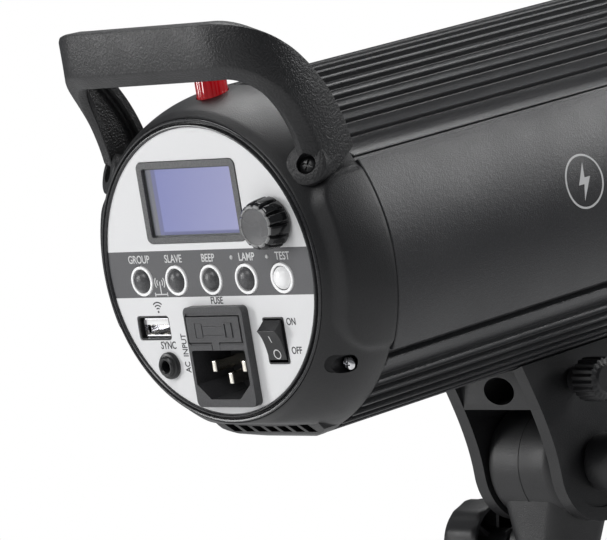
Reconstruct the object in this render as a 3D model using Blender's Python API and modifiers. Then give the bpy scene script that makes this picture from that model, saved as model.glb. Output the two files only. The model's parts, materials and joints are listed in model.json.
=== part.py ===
"""Monolight strobe for studio lighting, as an assembly of separate solids.

Two frames are used, both in metres.  The world frame has its origin at the
closed end of the stand socket, with +Z up along the spigot.  The head frame
has its origin at the centre of the rear control panel, +Y along the light
beam and +Z towards the carrying handle.  It hangs on the tilt axis and is
pitched nose-up, so every piece of the head is placed in head coordinates.
"""
import math

import bmesh
import bpy
from mathutils import Euler, Matrix, Vector

# ---------------------------------------------------------------- fits
GAP = 0.0003                # clearance left between neighbouring solids
WELD = 0.00001              # distance at which doubled vertices are merged
THROUGH = 0.002             # how far a cutter runs past the face it opens

# ---------------------------------------------------------------- tilt and stand
NOSE_UP = math.radians(12)  # pitch of the head in the rest pose
TILT_HEIGHT = 0.0205        # tilt axis above the closed end of the socket
PIVOT_Y = 0.147             # tilt axis in the head frame
PIVOT_Z = -0.0985
SPIGOT_BORE_R = 0.0081      # takes the 16 mm light-stand spigot
SOCKET_DEPTH = 0.040
KNUCKLE_R = 0.0200
KNUCKLE_WIDTH = 0.030
CHEEK_INNER_X = 0.0155
CHEEK_OUTER_X = 0.0205
CHEEK_R = 0.0205
BOLT_R = 0.0030
CLAMP_Z = -0.0081           # clamp screw axis below the socket's closed end
CLAMP_SCREW_R = 0.0030
CLAMP_PAD_R = 0.0040
KNOB_R = 0.015
LEVER_LENGTH = 0.055

# ---------------------------------------------------------------- body
BODY_CENTRE_Z = -0.0023     # body axis below the panel centre
BODY_RIB_R = 0.0590         # over the cooling ribs
BODY_CHANNEL_R = 0.0570     # between the ribs
BODY_PANEL_R = 0.0600       # smooth side panels
BODY_BORE_R = 0.0540
BODY_BACK_Y = 0.0249
BODY_FRONT_Y = 0.2260
RIB_PITCH = math.radians(5.87)
RIB_WIDTH = 0.0012
RIBS_EACH_SIDE = 8          # beside the rib at the very top, and at the very bottom
SIDE_PANEL_FROM = math.radians(57.4)
SIDE_PANEL_TO = math.radians(119.6)

CAP_INNER_R = 0.0505
CAP_LENGTH = 0.0246
CAP_SHOULDER_Y = 0.0045     # the cap's sections sink towards the body axis from here
PANEL_R = 0.0472
PANEL_THICKNESS = 0.0024

# ---------------------------------------------------------------- control panel, as x, z
DISPLAY_AT = (-0.0032, 0.0230)
DISPLAY_SIZE = (0.0460, 0.0268)
SCREEN_SIZE = (0.0358, 0.0212)
KNOB_AT = (0.0334, 0.0155)
BUTTON_NAMES = ("group", "slave", "buzzer", "lamp", "test")
BUTTON_FIRST_X = -0.0324
BUTTON_PITCH = 0.01638
BUTTON_Z = -0.0028
BUTTON_RING_R = 0.0050
BUTTON_R = 0.0039
USB_AT = (-0.0305, -0.0185)
USB_OPENING = (0.0153, 0.0082)
JACK_AT = (-0.0254, -0.0310)
INLET_AT = (0.0013, -0.02775)
INLET_SIZE = (0.0274, 0.0331)
SOCKET_AT = (0.0012, -0.0336)
SOCKET_SIZE = (0.0247, 0.0162)
DRAWER_AT = (0.0006, -0.01865)
DRAWER_SIZE = (0.0246, 0.0087)
DRAWER_DEPTH = 0.0170
ROCKER_AT = (0.0258, -0.0231)
ROCKER_FLANGE = (0.0096, 0.0156)
ROCKER_OPENING = (0.0090, 0.0150)
ROCKER_WELL = (0.0078, 0.0138)
ROCKER_PIVOT_Y = 0.0010
SENSOR_Y = 0.0145
SENSOR_R = 0.0053
VENT_Y = 0.0140
VENT_SIZE = (0.0500, 0.0190)
VENT_SLOTS = 8
VENT_PITCH = 0.0056

# ---------------------------------------------------------------- handle
HANDLE_HALF_WIDTH = 0.0500
HANDLE_CORNER_R = 0.0220
HANDLE_WALL = 0.0062
HANDLE_REAR_Y = -0.0150
HANDLE_BAR_LOW_Z = 0.0635
HANDLE_BAR_TOP_Z = 0.0820
FOOT_FACE = (0.0462, 0.0060, 0.0323)    # middle of the right foot's outer face
FOOT_PITCH = math.radians(-20.1)        # the foot's screw leans in towards the body axis
FOOT_YAW = math.radians(29.3)
FOOT_R = 0.0046
FOOT_SEAT = 0.0044          # depth of the foot's seat, spot-faced in the cap
FOOT_COUNTERBORE = 0.0024
CAP_SCREW_AT = (0.0455, -0.0334)

# ---------------------------------------------------------------- front
FRONT_RING_END_Y = 0.2620
BAYONET_FACE_Y = 0.2640
BAYONET_INNER_R = 0.0495
BAYONET_OUTER_R = 0.0607
LATCH_R = 0.0560
TUBE_R = 0.0260
TUBE_GLASS_R = 0.0040
TUBE_Y = 0.2560
LAMP_R = 0.0165
LAMP_END_Y = 0.3300
DISH_Y = 0.2380

# ---------------------------------------------------------------- inside
FAN_Y = 0.0515
FAN_SIZE = 0.0600
FAN_DEPTH = 0.0150
FAN_BLADES = 7
CAPACITOR_R = 0.0175
UMBRELLA_Z = -0.0680
UMBRELLA_SCREW_Y = 0.1400
UMBRELLA_BORE_R = 0.0045
SADDLE_BACK_Y = 0.1215
SADDLE_LENGTH = 0.0635
SADDLE_BOTTOM_Z = -0.0745
YOKE_SCREW_Z = -0.0690      # underside of the heads, in counterbores

LARGE = 48                  # segments round a large, medium or small circle
MEDIUM = 24
SMALL = 12


# ================================================================ scene
def clear_scene():
    for obj in list(bpy.data.objects):
        bpy.data.objects.remove(obj)


def new_collection(name):
    collection = bpy.data.collections.new(name)
    bpy.context.scene.collection.children.link(collection)
    return collection


def empty(name, at, turn):
    obj = bpy.data.objects.new(name, None)
    PARTS.objects.link(obj)
    obj.location = at
    obj.rotation_euler = turn
    return obj


def look(name, colour, roughness, metallic=0.0):
    material = bpy.data.materials.new(name)
    material.use_nodes = True
    shader = material.node_tree.nodes["Principled BSDF"]
    shader.inputs["Base Color"].default_value = (*colour, 1)
    shader.inputs["Roughness"].default_value = roughness
    shader.inputs["Metallic"].default_value = metallic
    return material


def part(name, mesh, material, parent=None, at=(0, 0, 0), turn=(0, 0, 0)):
    """One solid of the assembly, placed in its parent's frame."""
    obj = bpy.data.objects.new(name, mesh)
    PARTS.objects.link(obj)
    obj.parent = parent
    obj.location = at
    obj.rotation_euler = turn
    mesh.materials.append(material)
    mesh.shade_smooth()
    mesh.set_sharp_from_angle(angle=math.radians(35))
    return obj


def boolean(obj, operation, mesh, at, turn):
    tool = bpy.data.objects.new(obj.name + "." + operation.lower(), mesh)
    CUTTERS.objects.link(tool)
    tool.parent = obj.parent
    tool.location = at
    tool.rotation_euler = turn
    tool.display_type = "WIRE"
    tool.hide_render = True
    modifier = obj.modifiers.new(operation.lower(), "BOOLEAN")
    modifier.operation = operation
    modifier.object = tool


def cut(obj, mesh, at=(0, 0, 0), turn=(0, 0, 0)):
    boolean(obj, "DIFFERENCE", mesh, at, turn)


def fuse(obj, mesh, at=(0, 0, 0), turn=(0, 0, 0)):
    boolean(obj, "UNION", mesh, at, turn)


def keep_inside(obj, mesh, at=(0, 0, 0), turn=(0, 0, 0)):
    boolean(obj, "INTERSECT", mesh, at, turn)


# ================================================================ shapes
def baked(obj):
    """The evaluated shape of a helper object as one welded mesh."""
    bpy.context.scene.collection.objects.link(obj)
    graph = bpy.context.evaluated_depsgraph_get()
    mesh = bpy.data.meshes.new_from_object(obj.evaluated_get(graph))
    bpy.data.objects.remove(obj)
    shape = bmesh.new()
    shape.from_mesh(mesh)
    bmesh.ops.remove_doubles(shape, verts=shape.verts, dist=WELD)
    bmesh.ops.recalc_face_normals(shape, faces=shape.faces)
    shape.to_mesh(mesh)
    shape.free()
    return mesh


def finished(shape, name):
    mesh = bpy.data.meshes.new(name)
    shape.to_mesh(mesh)
    shape.free()
    return mesh


def turned(profile, axis="Y", steps=MEDIUM, closed=False):
    """A turned solid.  The profile is (radius, place along the axis), from high to low
    on its outer side; a closed profile makes a ring."""
    if axis == "Z":
        points = [(r, 0, a) for r, a in profile]
    elif axis == "Y":
        points = [(r, a, 0) for r, a in profile]
    else:
        points = [(a, r, 0) for r, a in profile]
    edges = [(i, i + 1) for i in range(len(points) - 1)]
    if closed:
        edges.append((len(points) - 1, 0))
    mesh = bpy.data.meshes.new("profile")
    mesh.from_pydata(points, edges, [])
    obj = bpy.data.objects.new("profile", mesh)
    screw = obj.modifiers.new("screw", "SCREW")
    screw.axis = axis
    screw.steps = steps
    screw.render_steps = steps
    screw.use_merge_vertices = True
    screw.merge_threshold = WELD
    return baked(obj)


AXIS_FRAMES = {
    "X": Matrix(((0, 0, 1, 0), (1, 0, 0, 0), (0, 1, 0, 0), (0, 0, 0, 1))),
    "Y": Matrix.Rotation(math.pi / 2, 4, "X"),
    "Z": Matrix.Identity(4),
}


def slab(outlines, thickness, axis="Y"):
    """A flat plate from an outline and its holes.  Outlines are (x, z) for a plate
    across Y, (y, z) across X and (x, y) across Z."""
    curve = bpy.data.curves.new("outline", "CURVE")
    curve.dimensions = "2D"
    curve.fill_mode = "BOTH"
    curve.extrude = thickness / 2
    for outline in outlines:
        spline = curve.splines.new("POLY")
        spline.points.add(len(outline) - 1)
        for point, (u, v) in zip(spline.points, outline):
            point.co = (u, v, 0, 1)
        spline.use_cyclic_u = True
    mesh = baked(bpy.data.objects.new("outline", curve))
    mesh.transform(AXIS_FRAMES[axis])
    return mesh


def box(width, depth, height, bevel=0.0, segments=2):
    shape = bmesh.new()
    bmesh.ops.create_cube(shape, size=1, matrix=Matrix.Diagonal((width, depth, height, 1)))
    if bevel:
        bmesh.ops.bevel(shape, geom=shape.edges, offset=bevel, segments=segments,
                        profile=0.5, affect="EDGES")
    return finished(shape, "box")


def rod(radius, length, axis="Y", sides=SMALL, end_radius=None):
    shape = bmesh.new()
    end = radius if end_radius is None else end_radius
    bmesh.ops.create_cone(shape, cap_ends=True, segments=sides, radius1=end,
                          radius2=radius, depth=length, matrix=AXIS_FRAMES[axis])
    return finished(shape, "rod")


def wire(points, radius):
    """A round bar along a path."""
    curve = bpy.data.curves.new("wire", "CURVE")
    curve.dimensions = "3D"
    curve.bevel_depth = radius
    curve.bevel_resolution = 2
    curve.use_fill_caps = True
    spline = curve.splines.new("POLY")
    spline.points.add(len(points) - 1)
    for point, co in zip(spline.points, points):
        point.co = (*co, 1)
    return baked(bpy.data.objects.new("wire", curve))


def arc(centre, radius, start, end, steps):
    """Points on an arc; angles in degrees, anticlockwise from the first axis."""
    points = []
    for i in range(steps + 1):
        angle = math.radians(start + (end - start) * i / steps)
        points.append((centre[0] + radius * math.cos(angle),
                       centre[1] + radius * math.sin(angle)))
    return points


def circle(centre, radius, steps=SMALL):
    return arc(centre, radius, 0, 360, steps)[:-1]


def rounded_rectangle(centre, size, radius, steps=3):
    half_w = size[0] / 2 - radius
    half_h = size[1] / 2 - radius
    points = []
    for i, (sx, sy) in enumerate(((1, 1), (-1, 1), (-1, -1), (1, -1))):
        corner = (centre[0] + sx * half_w, centre[1] + sy * half_h)
        points += arc(corner, radius, 90 * i, 90 * i + 90, steps)
    return points


def bezier(a, b, c, d, steps):
    """Points of a cubic curve from a to d with b and c as its handles."""
    points = []
    for i in range(steps + 1):
        t = i / steps
        s = 1 - t
        weights = (s * s * s, 3 * s * s * t, 3 * s * t * t, t * t * t)
        points.append(tuple(sum(w * p[k] for w, p in zip(weights, (a, b, c, d)))
                            for k in range(2)))
    return points


def grown(size, amount):
    return (size[0] + 2 * amount, size[1] + 2 * amount)


def on_panel(place, y=0.0):
    return (place[0], y, place[1])


def screw_mesh(head_r, head_length, shank_r, length, axis="Y"):
    """A pan-head screw whose head ends at 0 and whose shank runs to +length."""
    return turned([(0, length), (shank_r, length), (shank_r, 0), (head_r, 0),
                   (head_r, -head_length * 0.6), (head_r * 0.7, -head_length),
                   (0, -head_length)], axis, SMALL)


# ================================================================ body
def body_outline():
    """Half of the extrusion's section as (angle from the top, radius), then mirrored."""
    half_rib = RIB_WIDTH / 2 / BODY_RIB_R
    half = [(0, BODY_RIB_R), (half_rib * 0.8, BODY_RIB_R), (half_rib, BODY_CHANNEL_R)]
    for i in range(1, RIBS_EACH_SIDE + 1):
        middle = i * RIB_PITCH
        half += [(middle - half_rib, BODY_CHANNEL_R), (middle - half_rib * 0.8, BODY_RIB_R),
                 (middle + half_rib * 0.8, BODY_RIB_R), (middle + half_rib, BODY_CHANNEL_R)]
    half += [(math.radians(51.9), BODY_CHANNEL_R), (math.radians(55.4), BODY_RIB_R),
             (math.radians(56.0), BODY_RIB_R - 0.0008)]
    steps = 14
    for i in range(steps + 1):
        angle = SIDE_PANEL_FROM + (SIDE_PANEL_TO - SIDE_PANEL_FROM) * i / steps
        half.append((angle, BODY_PANEL_R))
    half += [(math.radians(120.2), BODY_CHANNEL_R), (math.radians(123.4), BODY_CHANNEL_R),
             (math.radians(124.0), BODY_RIB_R), (math.radians(126.5), BODY_RIB_R),
             (math.radians(127.1), BODY_CHANNEL_R)]
    for i in range(RIBS_EACH_SIDE, 0, -1):
        middle = math.pi - i * RIB_PITCH
        half += [(middle - half_rib, BODY_CHANNEL_R), (middle - half_rib * 0.8, BODY_RIB_R),
                 (middle + half_rib * 0.8, BODY_RIB_R), (middle + half_rib, BODY_CHANNEL_R)]
    half += [(math.pi - half_rib, BODY_CHANNEL_R), (math.pi - half_rib * 0.8, BODY_RIB_R)]
    full = half + [(-angle, radius) for angle, radius in reversed(half) if angle > 0]
    return [(radius * math.sin(angle), radius * math.cos(angle)) for angle, radius in full]


def make_body():
    length = BODY_FRONT_Y - BODY_BACK_Y
    middle = (0, (BODY_BACK_Y + BODY_FRONT_Y) / 2, BODY_CENTRE_Z)
    shell = part("body_shell", slab([body_outline(), circle((0, 0), BODY_BORE_R, LARGE)], length),
                 BLACK_PAINT, HEAD, middle)
    for x, y in YOKE_SCREWS:
        cut(shell, rod(0.0023, 0.020, "Z"), (x, y, -0.058))
    for side in (-1, 1):
        cut(shell, rod(0.0017, 0.024), (side * CAP_SCREW_AT[0], BODY_BACK_Y, CAP_SCREW_AT[1]))


def cap_profile(grow=0.0):
    """Outer side of the rear cap, from its seam to its rear edge."""
    return [(0.0590 + grow, CAP_LENGTH), (0.0577 + grow, 0.0130), (0.0559 + grow, 0.0072),
            (0.0530 + grow, 0.0027), (0.0506 + grow, 0.0004)]


def sink_towards_body(mesh):
    """Lower the cap's sections towards the body axis, which is below the panel centre."""
    for vertex in mesh.vertices:
        share = min(max((vertex.co.y - CAP_SHOULDER_Y) / (CAP_LENGTH - CAP_SHOULDER_Y), 0), 1)
        vertex.co.z += BODY_CENTRE_Z * share * (2 - share)
    return mesh


def cap_envelope(grow):
    """Solid of the cap's outer surface grown by a margin, prolonged past the seam."""
    profile = [(0, 0.0300), (0.0590 + grow, 0.0300)] + cap_profile(grow) + [(0, 0.0004)]
    return sink_towards_body(turned(profile, steps=LARGE))


def in_foot(side, depth):
    """Point at a depth along the screw of one handle foot, and that screw's turn."""
    turn = (FOOT_PITCH, 0, side * FOOT_YAW)
    direction = Euler(turn).to_matrix() @ Vector((0, 1, 0))
    face = Vector((side * FOOT_FACE[0], FOOT_FACE[1], FOOT_FACE[2]))
    return face + direction * depth, turn


def make_cap():
    outer = cap_profile()
    inner = [(0.0483, 0.0004), (0.0483, 0.0030), (CAP_INNER_R, 0.0050), (CAP_INNER_R, CAP_LENGTH)]
    cap = part("rear_cap", sink_towards_body(turned(outer + inner, steps=LARGE, closed=True)),
               BLACK_PLASTIC, HEAD)
    cut(cap, rod(SENSOR_R + GAP, 0.020, "Z", MEDIUM), (0, SENSOR_Y, 0.054))
    cut(cap, box(*grown(VENT_SIZE, GAP), 0.0200), (0, VENT_Y, -0.0580))
    for side in (-1, 1):
        cut(cap, rod(FOOT_R + GAP, 0.0100, sides=MEDIUM), *in_foot(side, FOOT_SEAT - 0.0050))
        cut(cap, rod(0.0015, 0.0160), *in_foot(side, 0.0100))
        cut(cap, rod(0.0017, 0.036), (side * CAP_SCREW_AT[0], 0.0160, CAP_SCREW_AT[1]))
        pocket = slab([rounded_rectangle((0, 0), (0.0150, 0.0062), 0.0030)], 0.012, "X")
        cut(cap, pocket, (side * 0.0500, 0.0050, CAP_SCREW_AT[1]))
        cut(cap, rod(0.0029, 0.0100), (side * CAP_SCREW_AT[0], 0.0081, CAP_SCREW_AT[1]))
        part("cap_screw_" + SIDES[side], screw_mesh(0.0025, 0.0016, 0.0014, 0.0220), CHROME, HEAD,
             (side * CAP_SCREW_AT[0], 0.0128, CAP_SCREW_AT[1]))
    ring = [(0.0481, 0.0034), (0.0481, -0.0004), (0.0478, -0.0008), (0.0475, -0.0008),
            (0.0475, 0.0034)]
    part("panel_trim_ring", turned(ring, steps=LARGE, closed=True), BLACK_PLASTIC, HEAD)
    dome = [(0, 0.0640), (0.0030, 0.0632), (0.0048, 0.0608), (SENSOR_R, 0.0580),
            (SENSOR_R, 0.0495), (0, 0.0495)]
    part("slave_sensor_dome", turned([(r, z - 0.0495) for r, z in dome], "Z", MEDIUM), RED, HEAD,
         (0, SENSOR_Y, 0.0495))
    grille = part("vent_grille", box(*VENT_SIZE, 0.0130), BLACK_PLASTIC, HEAD, (0, VENT_Y, -0.0555))
    keep_inside(grille, cap_envelope(0.0006))
    for i in range(VENT_SLOTS):
        x = (i - (VENT_SLOTS - 1) / 2) * VENT_PITCH
        cut(grille, box(VENT_PITCH * 0.6, 0.0120, 0.0200), (x, VENT_Y - 0.0010, -0.0560))


def make_handle():
    rear = HANDLE_REAR_Y
    plan = []
    for grow in (0, -HANDLE_WALL):
        half = HANDLE_HALF_WIDTH + grow
        radius = HANDLE_CORNER_R + grow
        bend_x = HANDLE_HALF_WIDTH - HANDLE_CORNER_R
        bend_y = rear + HANDLE_CORNER_R
        side = [(-half, 0.026)] + arc((-bend_x, bend_y), radius, 180, 270, 6)
        side += arc((bend_x, bend_y), radius, 270, 360, 6) + [(half, 0.026)]
        plan += side if grow == 0 else side[::-1]
    height = 0.0600
    handle = part("handle", slab([plan], height, "Z"), BLACK_PLASTIC, HEAD, (0, 0, 0.0550))
    edge = bezier((rear - THROUGH, HANDLE_BAR_TOP_Z), (0.0030, 0.0790), (0.0240, 0.0540),
                  (0.0245, 0.0360), 8)
    edge += [(0.0235, 0.0310), (0.0170, 0.0270), (0.0080, 0.0260)]
    edge += bezier((0.0050, 0.0290), (0.0050, 0.0440), (-0.0060, 0.0570),
                   (-0.0130, HANDLE_BAR_LOW_Z), 8)
    edge += [(rear - THROUGH, HANDLE_BAR_LOW_Z)]
    keep_inside(handle, slab([edge], 0.1100, "X"))
    foot_length = FOOT_SEAT - GAP
    for side in (-1, 1):
        fuse(handle, rod(FOOT_R, foot_length, sides=MEDIUM), *in_foot(side, foot_length / 2))
    cut(handle, cap_envelope(GAP))
    for side in (-1, 1):
        fuse(handle, rod(FOOT_R, foot_length, sides=MEDIUM), *in_foot(side, foot_length / 2))
        cut(handle, rod(0.0032, 0.0120), *in_foot(side, FOOT_COUNTERBORE - 0.0060))
        cut(handle, rod(0.0015, 0.0100), *in_foot(side, 0.0050))
        at, turn = in_foot(side, FOOT_COUNTERBORE - GAP)
        part("handle_screw_" + SIDES[side], screw_mesh(0.0028, 0.0014, 0.0012, 0.0120), CHROME,
             HEAD, at, turn)


# ================================================================ control panel
def button_x(index):
    return BUTTON_FIRST_X + index * BUTTON_PITCH


def make_panel():
    holes = [rounded_rectangle(DISPLAY_AT, grown(DISPLAY_SIZE, GAP), 0.0022),
             circle(KNOB_AT, 0.0045),
             rounded_rectangle(USB_AT, USB_OPENING, 0.0008),
             circle(JACK_AT, 0.0040),
             rounded_rectangle(INLET_AT, (0.0260, 0.0317), 0.0010),
             rounded_rectangle(ROCKER_AT, ROCKER_OPENING, 0.0006)]
    holes += [circle((button_x(i), BUTTON_Z), BUTTON_RING_R + GAP) for i in range(5)]
    part("control_panel", slab([circle((0, 0), PANEL_R, LARGE)] + holes, PANEL_THICKNESS),
         PALE_PLASTIC, HEAD, (0, PANEL_THICKNESS / 2, 0))

    depth = 0.0034
    part("display_bezel", slab([rounded_rectangle((0, 0), DISPLAY_SIZE, 0.0020),
                                rounded_rectangle((-0.0004, -0.0006), SCREEN_SIZE, 0.0010)], depth),
         GREY_PLASTIC, HEAD, on_panel(DISPLAY_AT, depth / 2 - 0.0004))
    window = grown(SCREEN_SIZE, -GAP)
    part("display_window", slab([rounded_rectangle((0, 0), window, 0.0008)], 0.0010), GLASS, HEAD,
         (DISPLAY_AT[0] - 0.0004, 0.0022, DISPLAY_AT[1] - 0.0006))
    part("display_module", box(0.0420, 0.0036, 0.0255), GREY_PLASTIC, HEAD, on_panel(DISPLAY_AT, 0.0052))

    board_y = 0.0102
    outline = arc((0, 0), 0.0440, -13, 193, 32)
    part("control_board", slab([outline, circle(KNOB_AT, 0.0022)], 0.0016), BOARD_GREEN, HEAD,
         (0, board_y, 0))

    guide = part("button_light_guide", box(5 * BUTTON_PITCH, 0.0010, 0.0120), WHITE_PLASTIC, HEAD,
                 (0, 0.0033, BUTTON_Z))
    for i in range(5):
        at = (button_x(i), 0.0014, BUTTON_Z)
        fuse(guide, rod(BUTTON_RING_R, 0.0040, sides=SMALL), at)
        cut(guide, rod(BUTTON_R + GAP, 0.0120, sides=SMALL), at)
    cap = [(0, 0.0083), (0.0020, 0.0083), (0.0020, 0.0052), (BUTTON_R, 0.0052),
           (BUTTON_R, -0.0006), (BUTTON_R * 0.7, -0.0015), (0, -0.0018)]
    for i, name in enumerate(BUTTON_NAMES):
        colour = WHITE_PLASTIC if name == "test" else GREY_PLASTIC
        part("button_" + name, turned(cap, steps=SMALL), colour, HEAD, (button_x(i), 0, BUTTON_Z))


def fluted(radius, depth, flutes, steps):
    """Knob outline with evenly spaced finger grooves."""
    points = []
    for i in range(steps):
        angle = 2 * math.pi * i / steps
        r = radius - depth * max(0, math.cos(flutes * angle)) ** 2
        points.append((r * math.cos(angle), r * math.sin(angle)))
    return points


def make_encoder():
    shaft = [(0, 0.0130), (0.0017, 0.0130), (0.0017, 0.0060), (0.0030, 0.0060), (0.0030, -0.0070),
             (0, -0.0070)]
    part("encoder_shaft", turned(shaft, steps=SMALL), STEEL, HEAD, on_panel(KNOB_AT))
    knob = part("control_knob", slab([fluted(0.0084, 0.0007, 12, 48)], 0.0083), GREY_PLASTIC, HEAD,
                on_panel(KNOB_AT, -0.0047))
    front = turned([(0, 0.0), (0.0100, 0.0), (0.0084, -0.0058), (0.0066, -0.0082), (0.0035, -0.0087),
                    (0, -0.0088)], steps=MEDIUM)
    keep_inside(knob, front, on_panel(KNOB_AT, -0.0001))
    cut(knob, rod(0.0032, 0.0080), on_panel(KNOB_AT, -0.0033))


def make_ports():
    usb = part("usb_port", slab([rounded_rectangle((0, 0), grown(USB_OPENING, -GAP), 0.0006)], 0.0150),
               STEEL, HEAD, on_panel(USB_AT, 0.0080))
    cut(usb, box(0.0124, 0.0100, 0.0050), on_panel(USB_AT, 0.0040))
    fuse(usb, box(0.0110, 0.0105, 0.0018), on_panel(USB_AT, 0.0070))

    jack = [(0, 0.0160), (0.0036, 0.0160), (0.0036, -0.0003), (0.0044, -0.0003), (0.0044, -0.0018),
            (0.0036, -0.0026), (0.0024, -0.0026), (0.0018, -0.0020), (0.0018, 0.0120), (0, 0.0120)]
    part("sync_jack", turned(jack, steps=MEDIUM), STEEL, HEAD, on_panel(JACK_AT))

    flange = 0.0030
    body_length = 0.0260
    inlet = part("power_inlet", slab([rounded_rectangle((0, 0), INLET_SIZE, 0.0015)], flange),
                 BLACK_PLASTIC, HEAD, on_panel(INLET_AT, -flange / 2 - GAP))
    fuse(inlet, box(0.0254, body_length, 0.0311), on_panel(INLET_AT, body_length / 2 - 0.0010))
    half_w = SOCKET_SIZE[0] / 2
    half_h = SOCKET_SIZE[1] / 2
    mouth = [(half_w, half_h), (-half_w, half_h), (-half_w, 0.0049 - half_h), (0.0056 - half_w, -half_h),
             (half_w - 0.0056, -half_h), (half_w, 0.0049 - half_h)]
    cut(inlet, slab([mouth], 0.0190), on_panel(SOCKET_AT, 0.0045))
    drawer_centre_y = DRAWER_DEPTH / 2 - 0.0033
    cut(inlet, box(DRAWER_SIZE[0] + 2 * GAP, DRAWER_DEPTH + 0.0040, DRAWER_SIZE[1] + 2 * GAP),
        on_panel(DRAWER_AT, drawer_centre_y - 0.0020 + GAP))
    pins = {"live": (-0.0070, 0.0020), "neutral": (0.0070, 0.0020), "earth": (0, -0.0020)}
    for name, (dx, dz) in pins.items():
        place = (SOCKET_AT[0] + dx, SOCKET_AT[1] + dz)
        cut(inlet, box(0.0020 + 2 * GAP, 0.0200, 0.0040 + 2 * GAP), on_panel(place, 0.0200))
        part("inlet_pin_" + name, box(0.0020, 0.0300, 0.0040, 0.0005, 1), BRASS, HEAD,
             on_panel(place, 0.0155))

    drawer = part("fuse_drawer", box(DRAWER_SIZE[0], DRAWER_DEPTH, DRAWER_SIZE[1], 0.0005, 1),
                  BLACK_PLASTIC, HEAD, on_panel(DRAWER_AT, drawer_centre_y))
    cut(drawer, box(0.0208, 0.0060, 0.0076), (DRAWER_AT[0], 0.0085, DRAWER_AT[1] + 0.0009))
    part("fuse", rod(0.0026, 0.0200, "X"), GLASS, HEAD, on_panel(DRAWER_AT, 0.0085))


def make_switch():
    flange_depth = 0.0008
    housing = part("switch_housing", slab([rounded_rectangle((0, 0), ROCKER_FLANGE, 0.0008)], flange_depth),
                   BLACK_PLASTIC, HEAD, on_panel(ROCKER_AT, -flange_depth / 2 - GAP))
    fuse(housing, box(0.0086, 0.0140, 0.0146), on_panel(ROCKER_AT, 0.0065))
    cut(housing, box(ROCKER_WELL[0], 0.0140, ROCKER_WELL[1]), on_panel(ROCKER_AT, 0.0045))
    # The rocker's section is drawn about its pivot: crest, concave lower face, round back.
    face = bezier((-0.0051, 0.0038), (-0.0028, 0.0010), (-0.0021, -0.0030), (-0.0016, -0.0063), 6)
    back = arc((0, 0), 0.0063, 270, 450, 12)
    section = face + back + [(-0.0018, 0.0062)]
    part("power_rocker", slab([section], 0.0072, "X"), BLACK_PLASTIC, HEAD,
         on_panel(ROCKER_AT, ROCKER_PIVOT_Y))


# ================================================================ front
def make_front():
    ring = [(0.0640, FRONT_RING_END_Y), (0.0665, 0.2600), (0.0672, 0.2520), (0.0655, 0.2440),
            (0.0605, 0.2310), (0.0592, BODY_FRONT_Y + GAP), (0.0540, BODY_FRONT_Y + GAP),
            (0.0560, 0.2567), (0.0610, 0.2567), (0.0610, FRONT_RING_END_Y)]
    front = part("front_ring", turned(ring, steps=LARGE, closed=True), BLACK_PAINT, HEAD,
                 (0, 0, BODY_CENTRE_Z))
    cut(front, box(0.0130, 0.0300, 0.0180), (0, 0.2500, BODY_CENTRE_Z + 0.0640))
    cut(front, rod(0.0023, 0.0300), (0, 0.2500, BODY_CENTRE_Z + LATCH_R + 0.0015))
    flange = [(BAYONET_OUTER_R, BAYONET_FACE_Y), (BAYONET_OUTER_R, 0.2570), (BAYONET_INNER_R, 0.2570),
              (BAYONET_INNER_R, BAYONET_FACE_Y)]
    bayonet = part("bayonet_mount", turned(flange, steps=LARGE, closed=True), STEEL, HEAD,
                   (0, 0, BODY_CENTRE_Z))
    for i in range(3):
        angle = math.radians(90 + 120 * i)
        at = (BAYONET_INNER_R * math.cos(angle), 0.2600, BODY_CENTRE_Z + BAYONET_INNER_R * math.sin(angle))
        cut(bayonet, box(0.0060, 0.0200, 0.0220), at, (0, -angle, 0))
    pin_z = BODY_CENTRE_Z + LATCH_R + 0.0015
    cut(bayonet, rod(0.0023, 0.0300), (0, 0.2600, pin_z))
    latch = part("release_latch", box(0.0120, 0.0140, 0.0060, 0.0010, 1), BLACK_PLASTIC, HEAD,
                 (0, 0.2500, BODY_CENTRE_Z + 0.0650))
    fuse(latch, box(0.0060, 0.0050, 0.0080), (0, 0.2450, BODY_CENTRE_Z + 0.0610))
    fuse(latch, rod(0.0020, 0.0230), (0, 0.2545, pin_z))


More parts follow.
